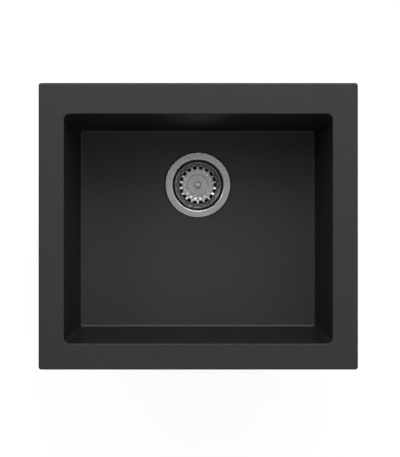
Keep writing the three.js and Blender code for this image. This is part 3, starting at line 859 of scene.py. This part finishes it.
def bowl_shell():
    """The rings from the floor's edge up the walls, over the rim and down the outside to the underside."""
    outer_round = FLOOR_ROUND + WALL_THICKNESS
    cove_out = WALL_THICKNESS + UNDER_RIM_ROUND
    rings = rounded(wall_ring, -FLOOR_ROUND, FLOOR_EDGE_Z + FLOOR_ROUND, FLOOR_ROUND, -90, 0, 10)
    rings += [wall_ring(z, 0) for z in (-150, -100, -50, -10)]
    rings += rounded(wall_ring, LIP_ROUND, -LIP_ROUND, LIP_ROUND, 180, 90)
    rings += [wall_ring(0, LIP_ROUND + FLAT_INSET), rim_ring(0, -RIM_TOP_ROUND - FLAT_INSET)]
    rings += rounded(rim_ring, -RIM_TOP_ROUND, -RIM_TOP_ROUND, RIM_TOP_ROUND, 90, 0)
    rings += rounded(rim_ring, -RIM_UNDER_ROUND, -RIM_THICKNESS + RIM_UNDER_ROUND, RIM_UNDER_ROUND, 0, -90, 4)
    rings += [rim_ring(-RIM_THICKNESS, -RIM_UNDER_ROUND - FLAT_INSET),
              wall_ring(-RIM_THICKNESS, cove_out + FLAT_INSET)]
    rings += rounded(wall_ring, cove_out, -RIM_THICKNESS - UNDER_RIM_ROUND, UNDER_RIM_ROUND, 90, 180)
    rings += [wall_ring(z, WALL_THICKNESS) for z in (-60, -120, -170)]
    rings += rounded(wall_ring, -FLOOR_ROUND, UNDER_Z + outer_round, outer_round, 0, -90, 10)
    return [*rings, wall_ring(UNDER_Z, -FLOOR_ROUND - UNDERSIDE_INSET)]


def bowl_shape():
    rings = bowl_shell()
    shape = lofted(rings, closed=False)
    shape.join(skin_round_waste(rings[0], RECESS_EDGE_R, floor_height))
    shape.join(skin_round_waste(rings[-1], WASTE_HOLE_R, lambda x, y: UNDER_Z))
    recess = [recess_ring(RECESS_R + out, drop) for out, drop in (
        (RECESS_EASE, 0),
        (0.25, 0.1),
        (0.07, 0.27),
        (0, RECESS_EASE),
    )]
    recess += circles([
        (RECESS_R, RECESS_Z + 0.5),
        (RECESS_R - 0.15, RECESS_Z + 0.15),
        (RECESS_R - 0.5, RECESS_Z),
        (WASTE_HOLE_R + 0.4, RECESS_Z),
        (WASTE_HOLE_R, RECESS_Z - 0.4),
        (WASTE_HOLE_R, UNDER_Z),
    ], RECESS_STEPS, WASTE_Y)
    shape.join(lofted(recess, closed=False))

    pad_top = -RIM_THICKNESS + PAD_SUNK
    pad = lathed([(INSERT_R + GAP, pad_top), (PAD_R + PAD_COVE, pad_top)]
                 + arc(PAD_R + PAD_COVE, -RIM_THICKNESS - PAD_COVE, PAD_COVE, 90, 180, 5)
                 + arc(PAD_R - PAD_EASE, PAD_Z + PAD_EASE, PAD_EASE, 0, -90, 3)
                 + [(INSERT_R + GAP, PAD_Z)], 48)
    for _, turn, _, at in fixing_places():
        shape.join(pad, turn, at)
    return shape


def fixing_places():
    """The name of each fixing, its side's turn about Z, which end of the side it is at, and its place."""
    sides = (
        ("back", 0, FIXING_SPREAD_X, ("right", "left")),
        ("left", 90, FIXING_SPREAD_Y, ("back", "front")),
        ("front", 180, FIXING_SPREAD_X, ("left", "right")),
        ("right", 270, FIXING_SPREAD_Y, ("front", "back")),
    )
    places = []
    for side, turn, spread, ends in sides:
        for end, sign in zip(ends, (1, -1)):
            at = Matrix.Rotation(math.radians(turn), 3, "Z") @ Vector((sign * spread, FIXING_OUT[side], 0))
            places.append((f"{side}_{end}", turn, sign, at))
    return places


dress(add_mesh("sink_bowl.look", bowl_shape()), "sink_bowl")

# ---------------------------------------------------------------- waste


def at_waste(shape, turn=0.0):
    """A shape drawn about Z, moved onto the waste's axis."""
    return Shape().join(shape, turn, (0, WASTE_Y, 0))


def waste_piece(node, shape, cutters=None, ribs=None):
    """A piece drawn about the waste's axis: moved there, cut or given ribs, and dressed."""
    piece = add_mesh(f"{node}.look", at_waste(shape))
    if cutters:
        cut(piece, cutters)
    if ribs:
        merge(piece, ribs)
    dress(piece, node)


def flange_shape():
    half = FLANGE_SHEET / 2
    wall = CUP_R - half
    foot = CUP_UNDER_Z + half
    face = FLOOR_Z - half
    middle = [(SCREW_R + GAP + half, foot), (20, foot)]
    middle += arc(wall - CUP_FOOT_ROUND, foot + CUP_FOOT_ROUND, CUP_FOOT_ROUND, -90, 0, 12)
    middle += [(wall, foot + CUP_FOOT_ROUND + 12)]
    middle += arc(wall + FLANGE_LIP_ROUND, face - FLANGE_LIP_ROUND, FLANGE_LIP_ROUND, 180, 90, 12)
    middle += [
        (wall + FLANGE_LIP_ROUND + 1, face),
        (FLANGE_R - half - FLANGE_EDGE_WIDTH, face),
        (FLANGE_R - half, face - FLANGE_EDGE_FALL),
    ]
    return lathed(sheet_outline(middle, FLANGE_SHEET), 192)


def build_flange():
    piece = add_mesh("waste_flange.look", at_waste(flange_shape()))
    hole = column([p[:2] for p in circle(DRAIN_HOLE_R, 0, 40)], CUP_UNDER_Z - 3, CUP_FLOOR_Z + 3)
    cut(piece, at_waste(ring_of(Shape().join(hole, move=(DRAIN_CIRCLE_R, 0, 0)), DRAIN_HOLE_COUNT)))
    drop_slivers(piece)
    dress(piece, "waste_flange")


def hex_nut(flats, bore, low, high):
    """A nut with both ends turned down at its corners and its bore eased."""
    steps = 96
    turned_r = flats * NUT_TURNED_SHARE
    depth = flats / math.sqrt(3) - turned_r
    levels = [(low + NUT_CHAMFER_SLOPE * depth * k / 4, turned_r + depth * k / 4) for k in range(5)]
    rings = circles([(bore, low + BORE_EASE), (bore + BORE_EASE, low)], steps)
    rings += [hexagon_ring(flats, z, steps, limit) for z, limit in levels]
    rings += [hexagon_ring(flats, low + high - z, steps, limit) for z, limit in levels[::-1]]
    rings += circles([(bore + BORE_EASE, high), (bore, high - BORE_EASE)], steps)
    return lofted(rings)


def centre_screw_shape():
    steps = 96
    rings = circles([(0, SCREW_END_Z), (SCREW_R - 1, SCREW_END_Z)], steps)
    rings += threaded(SCREW_R - 0.5, SCREW_R, SCREW_PITCH, SCREW_END_Z + 0.5, SCREW_WASHER_Z - 4, steps, 1.5)
    head = eased([
        (SCREW_R, SCREW_WASHER_Z - 2, 0),
        (SCREW_R, SCREW_WASHER_Z, 0),
        (SCREW_HEAD_R, SCREW_WASHER_Z, 0.4),
        (SCREW_HEAD_R, SCREW_HEAD_Z, 0.9),
        (STEM_R + GAP, SCREW_HEAD_Z, 0.4),
        (STEM_R + GAP, STEM_BORE_Z, 0),
        (0, STEM_BORE_Z, 0),
    ])
    return lofted(rings + circles(head, steps), closed=False)


def screw_slot():
    """A cutter for the slot in the centre screw's head."""
    half = SCREW_SLOT_WIDTH / 2
    outline = [(-12, -half), (12, -half), (12, half), (-12, half)]
    return at_waste(column(outline, SCREW_HEAD_Z - SCREW_SLOT_DEPTH, SCREW_HEAD_Z + 2), SCREW_SLOT_TURN)


def body_shape():
    steps = 144
    outlet_top = OUTLET_TOP_Z - BODY_WALL
    inner = eased([
        (BODY_BORE_R, GASKET_Z, 0.4),
        (BODY_BORE_R, FUNNEL_TOP_Z, 3),
        (OUTLET_BORE_R, OUTLET_TOP_Z, 3),
        (OUTLET_BORE_R, OUTLET_END_Z, 0.6),
        (OUTLET_R, OUTLET_END_Z, 0),
        (BODY_FLANGE_R, GASKET_Z, 0),
    ], 6)[:-2]
    outer = eased([
        (OUTLET_THREAD_R, outlet_top - 3, 0),
        (OUTLET_R, outlet_top - 2.2, 0.3),
        (OUTLET_R, outlet_top, 3),
        (BODY_BORE_R + BODY_WALL, FUNNEL_TOP_Z - BODY_WALL, 4),
        (BODY_BORE_R + BODY_WALL, GASKET_Z - BODY_FLANGE_THICKNESS, 1.5),
        (BODY_FLANGE_R, GASKET_Z - BODY_FLANGE_THICKNESS, 0.8),
        (BODY_FLANGE_R, GASKET_Z, 0.5),
        (BODY_BORE_R, GASKET_Z, 0),
    ], 6)[1:-1]
    inner += [(OUTLET_THREAD_R - 0.3, OUTLET_END_Z), (OUTLET_THREAD_R, OUTLET_END_Z + 0.3)]
    rings = circles(inner, steps)
    rings += threaded(OUTLET_THREAD_R, OUTLET_R, OUTLET_PITCH, OUTLET_END_Z + 1, outlet_top - 3,
                      steps, OUTLET_PITCH)
    return lofted(rings + circles(outer, steps))


def webs(outline, thickness, count, turn, ease):
    """An object of equal webs with eased edges, spread about the waste's axis."""
    ribs = add_mesh("webs", at_waste(ring_of(web(outline, thickness), count, turn)))
    bevel(ribs, ease)
    return ribs


def body_ribs():
    top = GASKET_Z - BODY_FLANGE_THICKNESS + 0.5
    foot = GASKET_Z - BODY_FLANGE_THICKNESS - RIB_HEIGHT
    wall = BODY_BORE_R + BODY_WALL
    tip = BODY_FLANGE_R - 1.2
    outline = [(wall - 0.5, top), (tip, top), (tip, top - 1.3), (wall + 0.6, foot), (wall - 0.5, foot)]
    return webs(outline, RIB_THICKNESS, RIB_COUNT, RIB_TURN, 0.35)


def hub_shape():
    """The hub, with the screw's bore and below it a seat for the nut."""
    steps = 96
    nut_seat = HUB_END_Z + CENTRE_NUT_HEIGHT
    flats = CENTRE_NUT_FLATS + 2 * GAP
    rings = circles([(SCREW_R + GAP, CUP_UNDER_Z), (SCREW_R + GAP, nut_seat)], steps)
    rings += [hexagon_ring(flats, z, steps) for z in (nut_seat, HUB_END_Z)]
    outer = eased([
        (HUB_R, HUB_END_Z, 0.6),
        (HUB_R, CUP_UNDER_Z, 0.6),
        (0, CUP_UNDER_Z, 0),
        (0, HUB_END_Z, 0),
    ])[:-2]
    return lofted(rings + circles(outer, steps))


def hub_arms():
    root = HUB_R - 1.2
    top = CUP_UNDER_Z - 0.3
    low = top - ARM_HEIGHT
    end = BODY_BORE_R - 0.3
    slope = (BODY_BORE_R - OUTLET_BORE_R) / (FUNNEL_TOP_Z - OUTLET_TOP_Z)
    foot = end - slope * (FUNNEL_TOP_Z - low)
    outline = [(root, top), (end, top), (end, FUNNEL_TOP_Z), (foot, low), (root, low)]
    return webs(outline, ARM_THICKNESS, ARM_COUNT, ARM_TURN, 0.4)


build_flange()
waste_piece("waste_centre_screw", centre_screw_shape(), cutters=screw_slot())
waste_piece("waste_body", body_shape(), ribs=body_ribs())
waste_piece("waste_cross", hub_shape(), ribs=hub_arms())
# The upper seal is real, but its foot reaches out over the recess floor, beyond the flange and nearly to the
# recess wall, so black rubber darkens the gap round the flange: painted shade.
waste_piece("waste_upper_seal", lathed(eased([
    (CUP_R + FLANGE_LIP_ROUND, RECESS_Z, 0.3),
    (RECESS_R - 0.7, RECESS_Z, 0.3),
    (RECESS_R - 0.9, RECESS_Z + 0.8, 0.3),
    (FLANGE_R - 0.3, RECESS_Z + 1, 0.3),
    (FLANGE_R - 0.3, FLOOR_Z - FLANGE_SHEET, 0.4),
    (CUP_R + FLANGE_LIP_ROUND, FLOOR_Z - FLANGE_SHEET, 0.3),
]), 144))
waste_piece("waste_lower_gasket", lathed(eased([
    (BODY_BORE_R, GASKET_Z, 0.4),
    (BODY_FLANGE_R, GASKET_Z, 1.1),
    (BODY_FLANGE_R, UNDER_Z, 1.1),
    (BODY_BORE_R, UNDER_Z, 0.4),
], 5), 144))
waste_piece("waste_centre_washer", lathed(eased([
    (SCREW_R + GAP, CUP_FLOOR_Z, 0.2),
    (SCREW_WASHER_R, CUP_FLOOR_Z, 0.3),
    (SCREW_WASHER_R, SCREW_WASHER_Z, 0.3),
    (SCREW_R + GAP, SCREW_WASHER_Z, 0.2),
]), 96))
waste_piece("waste_centre_nut",
            hex_nut(CENTRE_NUT_FLATS, SCREW_R + GAP, HUB_END_Z, HUB_END_Z + CENTRE_NUT_HEIGHT))

# ---------------------------------------------------------------- strainer basket


def basket_side(rim_r, rim_z):
    """The sheet's middle from the flat bottom over its sloping edge and up the wall to the rolled rim."""
    slope = math.radians(BASKET_EDGE_SLOPE)
    foot_r = BASKET_FLAT_R + BASKET_EDGE_WIDTH - BASKET_FOOT_ROUND * math.sin(slope)
    foot_z = BASKET_FLOOR_Z + BASKET_EDGE_WIDTH * math.tan(slope) + BASKET_FOOT_ROUND * math.cos(slope)
    across = rim_r - BASKET_RIM_ROUND - foot_r
    up = rim_z - foot_z
    lean = math.atan2(across, up) - math.asin(BASKET_FOOT_ROUND / math.hypot(across, up))
    bend = 1 / math.tan(slope / 2)
    ease = arc(BASKET_FLAT_R - 1, BASKET_FLOOR_Z + bend, bend, -90, BASKET_EDGE_SLOPE - 90, 6)
    foot = arc(foot_r, foot_z, BASKET_FOOT_ROUND, BASKET_EDGE_SLOPE - 90, -math.degrees(lean), 12)
    return ease + foot + arc(rim_r, rim_z, BASKET_RIM_ROUND, 180, 0, 12)


def basket_shape():
    rim_r = BASKET_R - BASKET_SHEET / 2 - BASKET_RIM_ROUND
    rim_z = BASKET_TOP_Z - BASKET_SHEET / 2 - BASKET_RIM_ROUND
    middle = [(STEM_R + GAP + BASKET_SHEET / 2, PANEL_Z), (7, PANEL_Z), (12, PANEL_Z)]
    for k in range(9):
        rise = (1 - math.cos(math.pi * k / 8)) / 2
        middle.append((PANEL_R + PANEL_STEP * (k / 4 - 1.5), PANEL_Z + (BASKET_FLOOR_Z - PANEL_Z) * rise))
    ramp = RAMP_END_R - RAMP_START_R
    middle += [(RAMP_START_R - 0.5 + (ramp + 0.7) * k / 12, BASKET_FLOOR_Z) for k in range(12)]
    middle += basket_side(rim_r, rim_z)
    shape = lathed(sheet_outline(middle, BASKET_SHEET), 20 * SLOT_COUNT)
    shape.points = [(x, y, z + ramp_rise(x, y, z)) for x, y, z in shape.points]
    return shape


def eased_step(share):
    share = max(0.0, min(1.0, share))
    return share * share * (3 - 2 * share)


def ramp_rise(x, y, z):
    """The bottom is pressed up to a low ramp inside each slot. It falls again to the slot's edge."""
    if z > BASKET_FLOOR_Z + BASKET_SHEET:
        return 0.0
    radius = math.hypot(x, y)
    pitch = 360 / SLOT_COUNT
    aside = abs((math.degrees(math.atan2(y, x)) + pitch / 2) % pitch - pitch / 2)
    up = max(0.0, min(1.0, (radius - RAMP_START_R) / (RAMP_END_R - RAMP_START_R)))
    down = eased_step((BASKET_FLAT_R + SLOT_INSET - radius) / (BASKET_FLAT_R + SLOT_INSET - RAMP_END_R))
    return RAMP_HEIGHT * min(up, down) * eased_step((RAMP_HALF_ANGLE - aside) / RAMP_EASE_ANGLE)


def slot_cutters():
    half = SLOT_WIDTH / 2
    start = BASKET_FLAT_R + SLOT_INSET + SLOT_CORNER
    outline = [(BASKET_R + 2, -half), (BASKET_R + 2, half)]
    outline += arc(start, half - SLOT_CORNER, SLOT_CORNER, 90, 180, 6)
    outline += arc(start, SLOT_CORNER - half, SLOT_CORNER, 180, 270, 6)
    slot = column(outline, BASKET_FLOOR_Z - 3, BASKET_FLOOR_Z + SLOT_HEIGHT)
    return at_waste(ring_of(slot, SLOT_COUNT))


def knob_shape():
    dome_z = KNOB_TOP_Z - KNOB_DOME
    dome = [(KNOB_R * math.sin(a) ** KNOB_FULLNESS, dome_z + KNOB_DOME * math.cos(a) ** KNOB_FULLNESS)
            for a in (math.radians(90) * k / 20 for k in range(20))] + [(KNOB_R, dome_z)]
    low = eased([
        (KNOB_R, dome_z + 0.4, 0),
        (KNOB_R, dome_z - 0.3, 0.35),
        (KNOB_NECK_R, dome_z - KNOB_UNDERCUT, 0.9),
        (KNOB_NECK_R, KNOB_FOOT_Z + 2.2, 1.8),
        (KNOB_FOOT_R, KNOB_FOOT_Z + 0.3, 0.3),
        (KNOB_FOOT_R, KNOB_FOOT_Z, 0),
        (STEM_R + GAP, KNOB_FOOT_Z, 0),
        (STEM_R + GAP, SOCKET_TOP_Z, 0),
        (0, SOCKET_TOP_Z, 0),
    ], 6)
    return lofted(circles(dome + low[1:], 96), closed=False)


def stem_shape():
    steps = 48
    end = STEM_BORE_Z + 0.3
    thread_end = LOCK_NUT_END_Z - 5
    rings = circles([(0, end), (STEM_R - 0.5, end), (STEM_R, end + 0.5), (STEM_R, thread_end)], steps)
    rings += threaded(STEM_R - 0.28, STEM_R, STEM_PITCH, thread_end, LOCK_NUT_TOP_Z, steps, STEM_PITCH)
    rings += circles([(STEM_R, SOCKET_TOP_Z - 0.3), (0, SOCKET_TOP_Z - 0.3)], steps)
    return lofted(rings, closed=False)


def washer_shape(inner, outer, low, high, ease, steps=72):
    corners = [(inner, low, ease), (outer, low, ease), (outer, high, ease), (inner, high, ease)]
    return lathed(eased(corners, 3), steps)


waste_piece("basket_cup", basket_shape(), cutters=slot_cutters())
waste_piece("basket_knob", knob_shape())
waste_piece("basket_stem", stem_shape())
waste_piece("basket_backing_washer",
            washer_shape(STEM_R + GAP, BACKING_R, SEAL_TOP_Z, BACKING_TOP_Z, 0.25))
waste_piece("basket_support_washer",
            washer_shape(STEM_R + GAP, SUPPORT_R, LOCK_NUT_TOP_Z, SUPPORT_TOP_Z, 0.25))
waste_piece("basket_lock_nut", hex_nut(LOCK_NUT_FLATS, STEM_R + GAP, LOCK_NUT_END_Z, LOCK_NUT_TOP_Z))
waste_piece("basket_seal", lathed(eased([
    (STEM_R + GAP, SEAL_TOP_Z, 0),
    (SEAL_HUB_R, SEAL_TOP_Z, 1.2),
    (SEAL_R, SEAL_LIP_Z + SEAL_SKIRT, 0.5),
    (SEAL_R, SEAL_LIP_Z, 0.3),
    (SEAL_R - SEAL_LIP_WIDTH, SEAL_LIP_Z, 0.4),
    (SEAL_HUB_R, SUPPORT_TOP_Z, 1.2),
    (STEM_R + GAP, SUPPORT_TOP_Z, 0),
], 5), 144))

# ---------------------------------------------------------------- fixings


def plate_shape():
    def outline(move):
        return stadium(0, PLATE_REACH, PLATE_HALF_WIDTH + move)

    def slot(move):
        return stadium(PLATE_REACH - PLATE_SLOT_REACH, PLATE_REACH, PLATE_SLOT_R - move, 16)

    def pivot(move):
        return [p[:2] for p in circle(CLAMP_SCREW_R + GAP - move, 0, 36)]

    return bevelled_plate(outline, [slot, pivot], PLATE_UNDER_Z, PAD_Z, 0.35)


def clamp_screw_shape():
    """A button head with a hexagon socket in its face, which looks down, and a plain shank above it."""
    steps = 72
    face = CLAMP_HEAD_END_Z
    rings = circles([(0, face + 2.3)], steps)
    rings += [hexagon_ring(CLAMP_SOCKET_FLATS + wider, face + up, steps)
              for wider, up in ((0, 2), (0, 0.2), (0.4, 0))]
    dome = [(CLAMP_HEAD_R - 1.6 + 1.6 * math.sin(a), face + 1.7 - 1.65 * math.cos(a))
            for a in (math.radians(90) * k / 8 for k in range(9))]
    rings += circles([
        (CLAMP_HEAD_R - 1.7, face),
        *dome,
        (CLAMP_HEAD_R, CLAMP_HEAD_TOP_Z - 0.2),
        (CLAMP_HEAD_R - 0.2, CLAMP_HEAD_TOP_Z),
        (CLAMP_SCREW_R, CLAMP_HEAD_TOP_Z),
        (CLAMP_SCREW_R, CLAMP_SCREW_TOP_Z - 0.5),
        (CLAMP_SCREW_R - 0.5, CLAMP_SCREW_TOP_Z),
        (0, CLAMP_SCREW_TOP_Z),
    ], steps)
    return lofted(rings, closed=False)


def build_fixings():
    bore = CLAMP_SCREW_R + GAP
    shapes = {
        "plate": plate_shape(),
        "insert": washer_shape(bore, INSERT_R, PAD_Z, INSERT_TOP_Z, 0.2, 48),
        "washer": washer_shape(bore, CLAMP_WASHER_R, CLAMP_HEAD_TOP_Z, PLATE_UNDER_Z, 0.25, 60),
        "screw": clamp_screw_shape(),
    }
    for name, turn, sign, at in fixing_places():
        along_rim = turn + (180 if sign > 0 else 0)
        for kind, shape in shapes.items():
            node = f"clamp_{kind}_{name}"
            dress(add_mesh(f"{node}.look", Shape().join(shape, along_rim, at)), node)


build_fixings()

# ---------------------------------------------------------------- stage, lights and camera

FLOOR_PLANE_Z = -286.5
FLOOR_HALF = 40000
FLOOR_ALBEDO = 0.2
FLOOR_GLOW = 0.92

WORLD_LEVEL = 0.138
SKY_OVERHEAD = 0.21
SKY_WHITE_BELOW = 0.0
SKY_GREY_ABOVE = 0.3

# In metres. Azimuth 0 is the back and 90 the right. The level is how bright a white matt surface that
# faces the lamp would be.
LIGHT_AIM = Vector((0, 0, -0.1))
LIGHTS = (  # name, azimuth, elevation, distance, width, height, level
    ("key_middle", 0, 46, 2.2, 0.9, 0.9, 0.468),
    ("key_right", 30, 46, 2.2, 0.9, 0.9, 0.163),
    ("side_right", 60, 46, 2.2, 1.6, 1.2, 0.079),
    ("side_left", 300, 46, 2.2, 0.5, 0.5, 0.128),
    ("edge_right", 90, 46, 2.2, 1.6, 1.2, 0.083),
    ("top_back", 0, 64, 2.2, 0.5, 0.5, 0.052),
    ("top_front", 180, 72, 1.2, 1.0, 1.0, 0.067),
    ("front_high", 180, 24, 2.2, 0.9, 0.9, 0.108),
)


def backdrop_floor():
    """A floor that looks white, also mirrored in metal, and gives back little of the light on it."""
    shape = Shape().add([(x * FLOOR_HALF, y * FLOOR_HALF, FLOOR_PLANE_Z)
                         for x, y in ((-1, -1), (1, -1), (1, 1), (-1, 1))], [(0, 1, 2, 3)])
    plane = add_mesh("floor", shape)
    graph = Graph(bpy.data.materials.new("pale_floor"))
    ray = graph.node("ShaderNodeLightPath")
    looked_at = graph.math("MAXIMUM", ray["Is Camera Ray"], ray["Is Glossy Ray"])
    looked_at = graph.math("MAXIMUM", looked_at, ray["Is Transmission Ray"])
    plane.data.materials.append(graph.finish(
        Base_Color=(FLOOR_ALBEDO, FLOOR_ALBEDO, FLOOR_ALBEDO),
        Roughness=1.0,
        Specular_IOR_Level=0.0,
        Emission_Color=WHITE,
        Emission_Strength=graph.math("MULTIPLY", looked_at, FLOOR_GLOW),
    ))


def studio_world():
    """White as a backdrop, plain soft light on matt surfaces, and for metal a sky that is white low
    down and grey overhead."""
    world = bpy.data.worlds.new("studio")
    bpy.context.scene.world = world
    world.cycles.sampling_method = "NONE"
    graph = Graph(world, "Background")
    ray = graph.node("ShaderNodeLightPath")
    up = graph.parts(graph.node("ShaderNodeTexCoord")["Generated"])[2]
    sky = graph.remap(up, SKY_WHITE_BELOW, SKY_GREY_ABOVE, 1.0, SKY_OVERHEAD)
    mirrored = graph.math("MAXIMUM", ray["Is Glossy Ray"], ray["Is Transmission Ray"])
    level = graph.between(mirrored, WORLD_LEVEL, sky)
    graph.finish(Strength=graph.between(ray["Is Camera Ray"], level, 1.0), Color=WHITE)


def soft_box(name, azimuth, elevation, distance, width, height, level):
    """A softbox that faces the bowl."""
    light = bpy.data.lights.new(name, "AREA")
    light.shape = "RECTANGLE"
    light.size = width
    light.size_y = height
    light.energy = level * math.pi * math.pi * distance ** 2
    lamp = bpy.data.objects.new(name, light)
    bpy.context.scene.collection.objects.link(lamp)
    a, e = math.radians(azimuth), math.radians(elevation)
    away = Vector((math.sin(a) * math.cos(e), math.cos(a) * math.cos(e), math.sin(e)))
    lamp.location = LIGHT_AIM + away * distance
    lamp.rotation_euler = away.to_track_quat("Z", "Y").to_euler()
    lamp.visible_camera = False


backdrop_floor()
studio_world()
for values in LIGHTS:
    soft_box(*values)

# In metres, but for the lens and its sensor, which are in millimetres. The camera hangs over the sink.
CAMERA_HEIGHT = 8.0
CAMERA_X = -0.0260
CAMERA_AIM_X = 0.0030
CAMERA_Y = -0.0039
CAMERA_REACH = 200
LENS = 361.6
SENSOR_WIDTH = 36


def photo_camera():
    data = bpy.data.cameras.new("photo")
    data.lens = LENS
    data.sensor_width = SENSOR_WIDTH
    data.clip_end = CAMERA_REACH
    camera = bpy.data.objects.new("photo", data)
    bpy.context.scene.collection.objects.link(camera)
    camera.location = (CAMERA_X, CAMERA_Y, CAMERA_HEIGHT)
    camera.rotation_euler.y = math.atan2(CAMERA_X - CAMERA_AIM_X, CAMERA_HEIGHT)
    bpy.context.scene.camera = camera


photo_camera()
bpy.context.scene.view_settings.view_transform = "Standard"
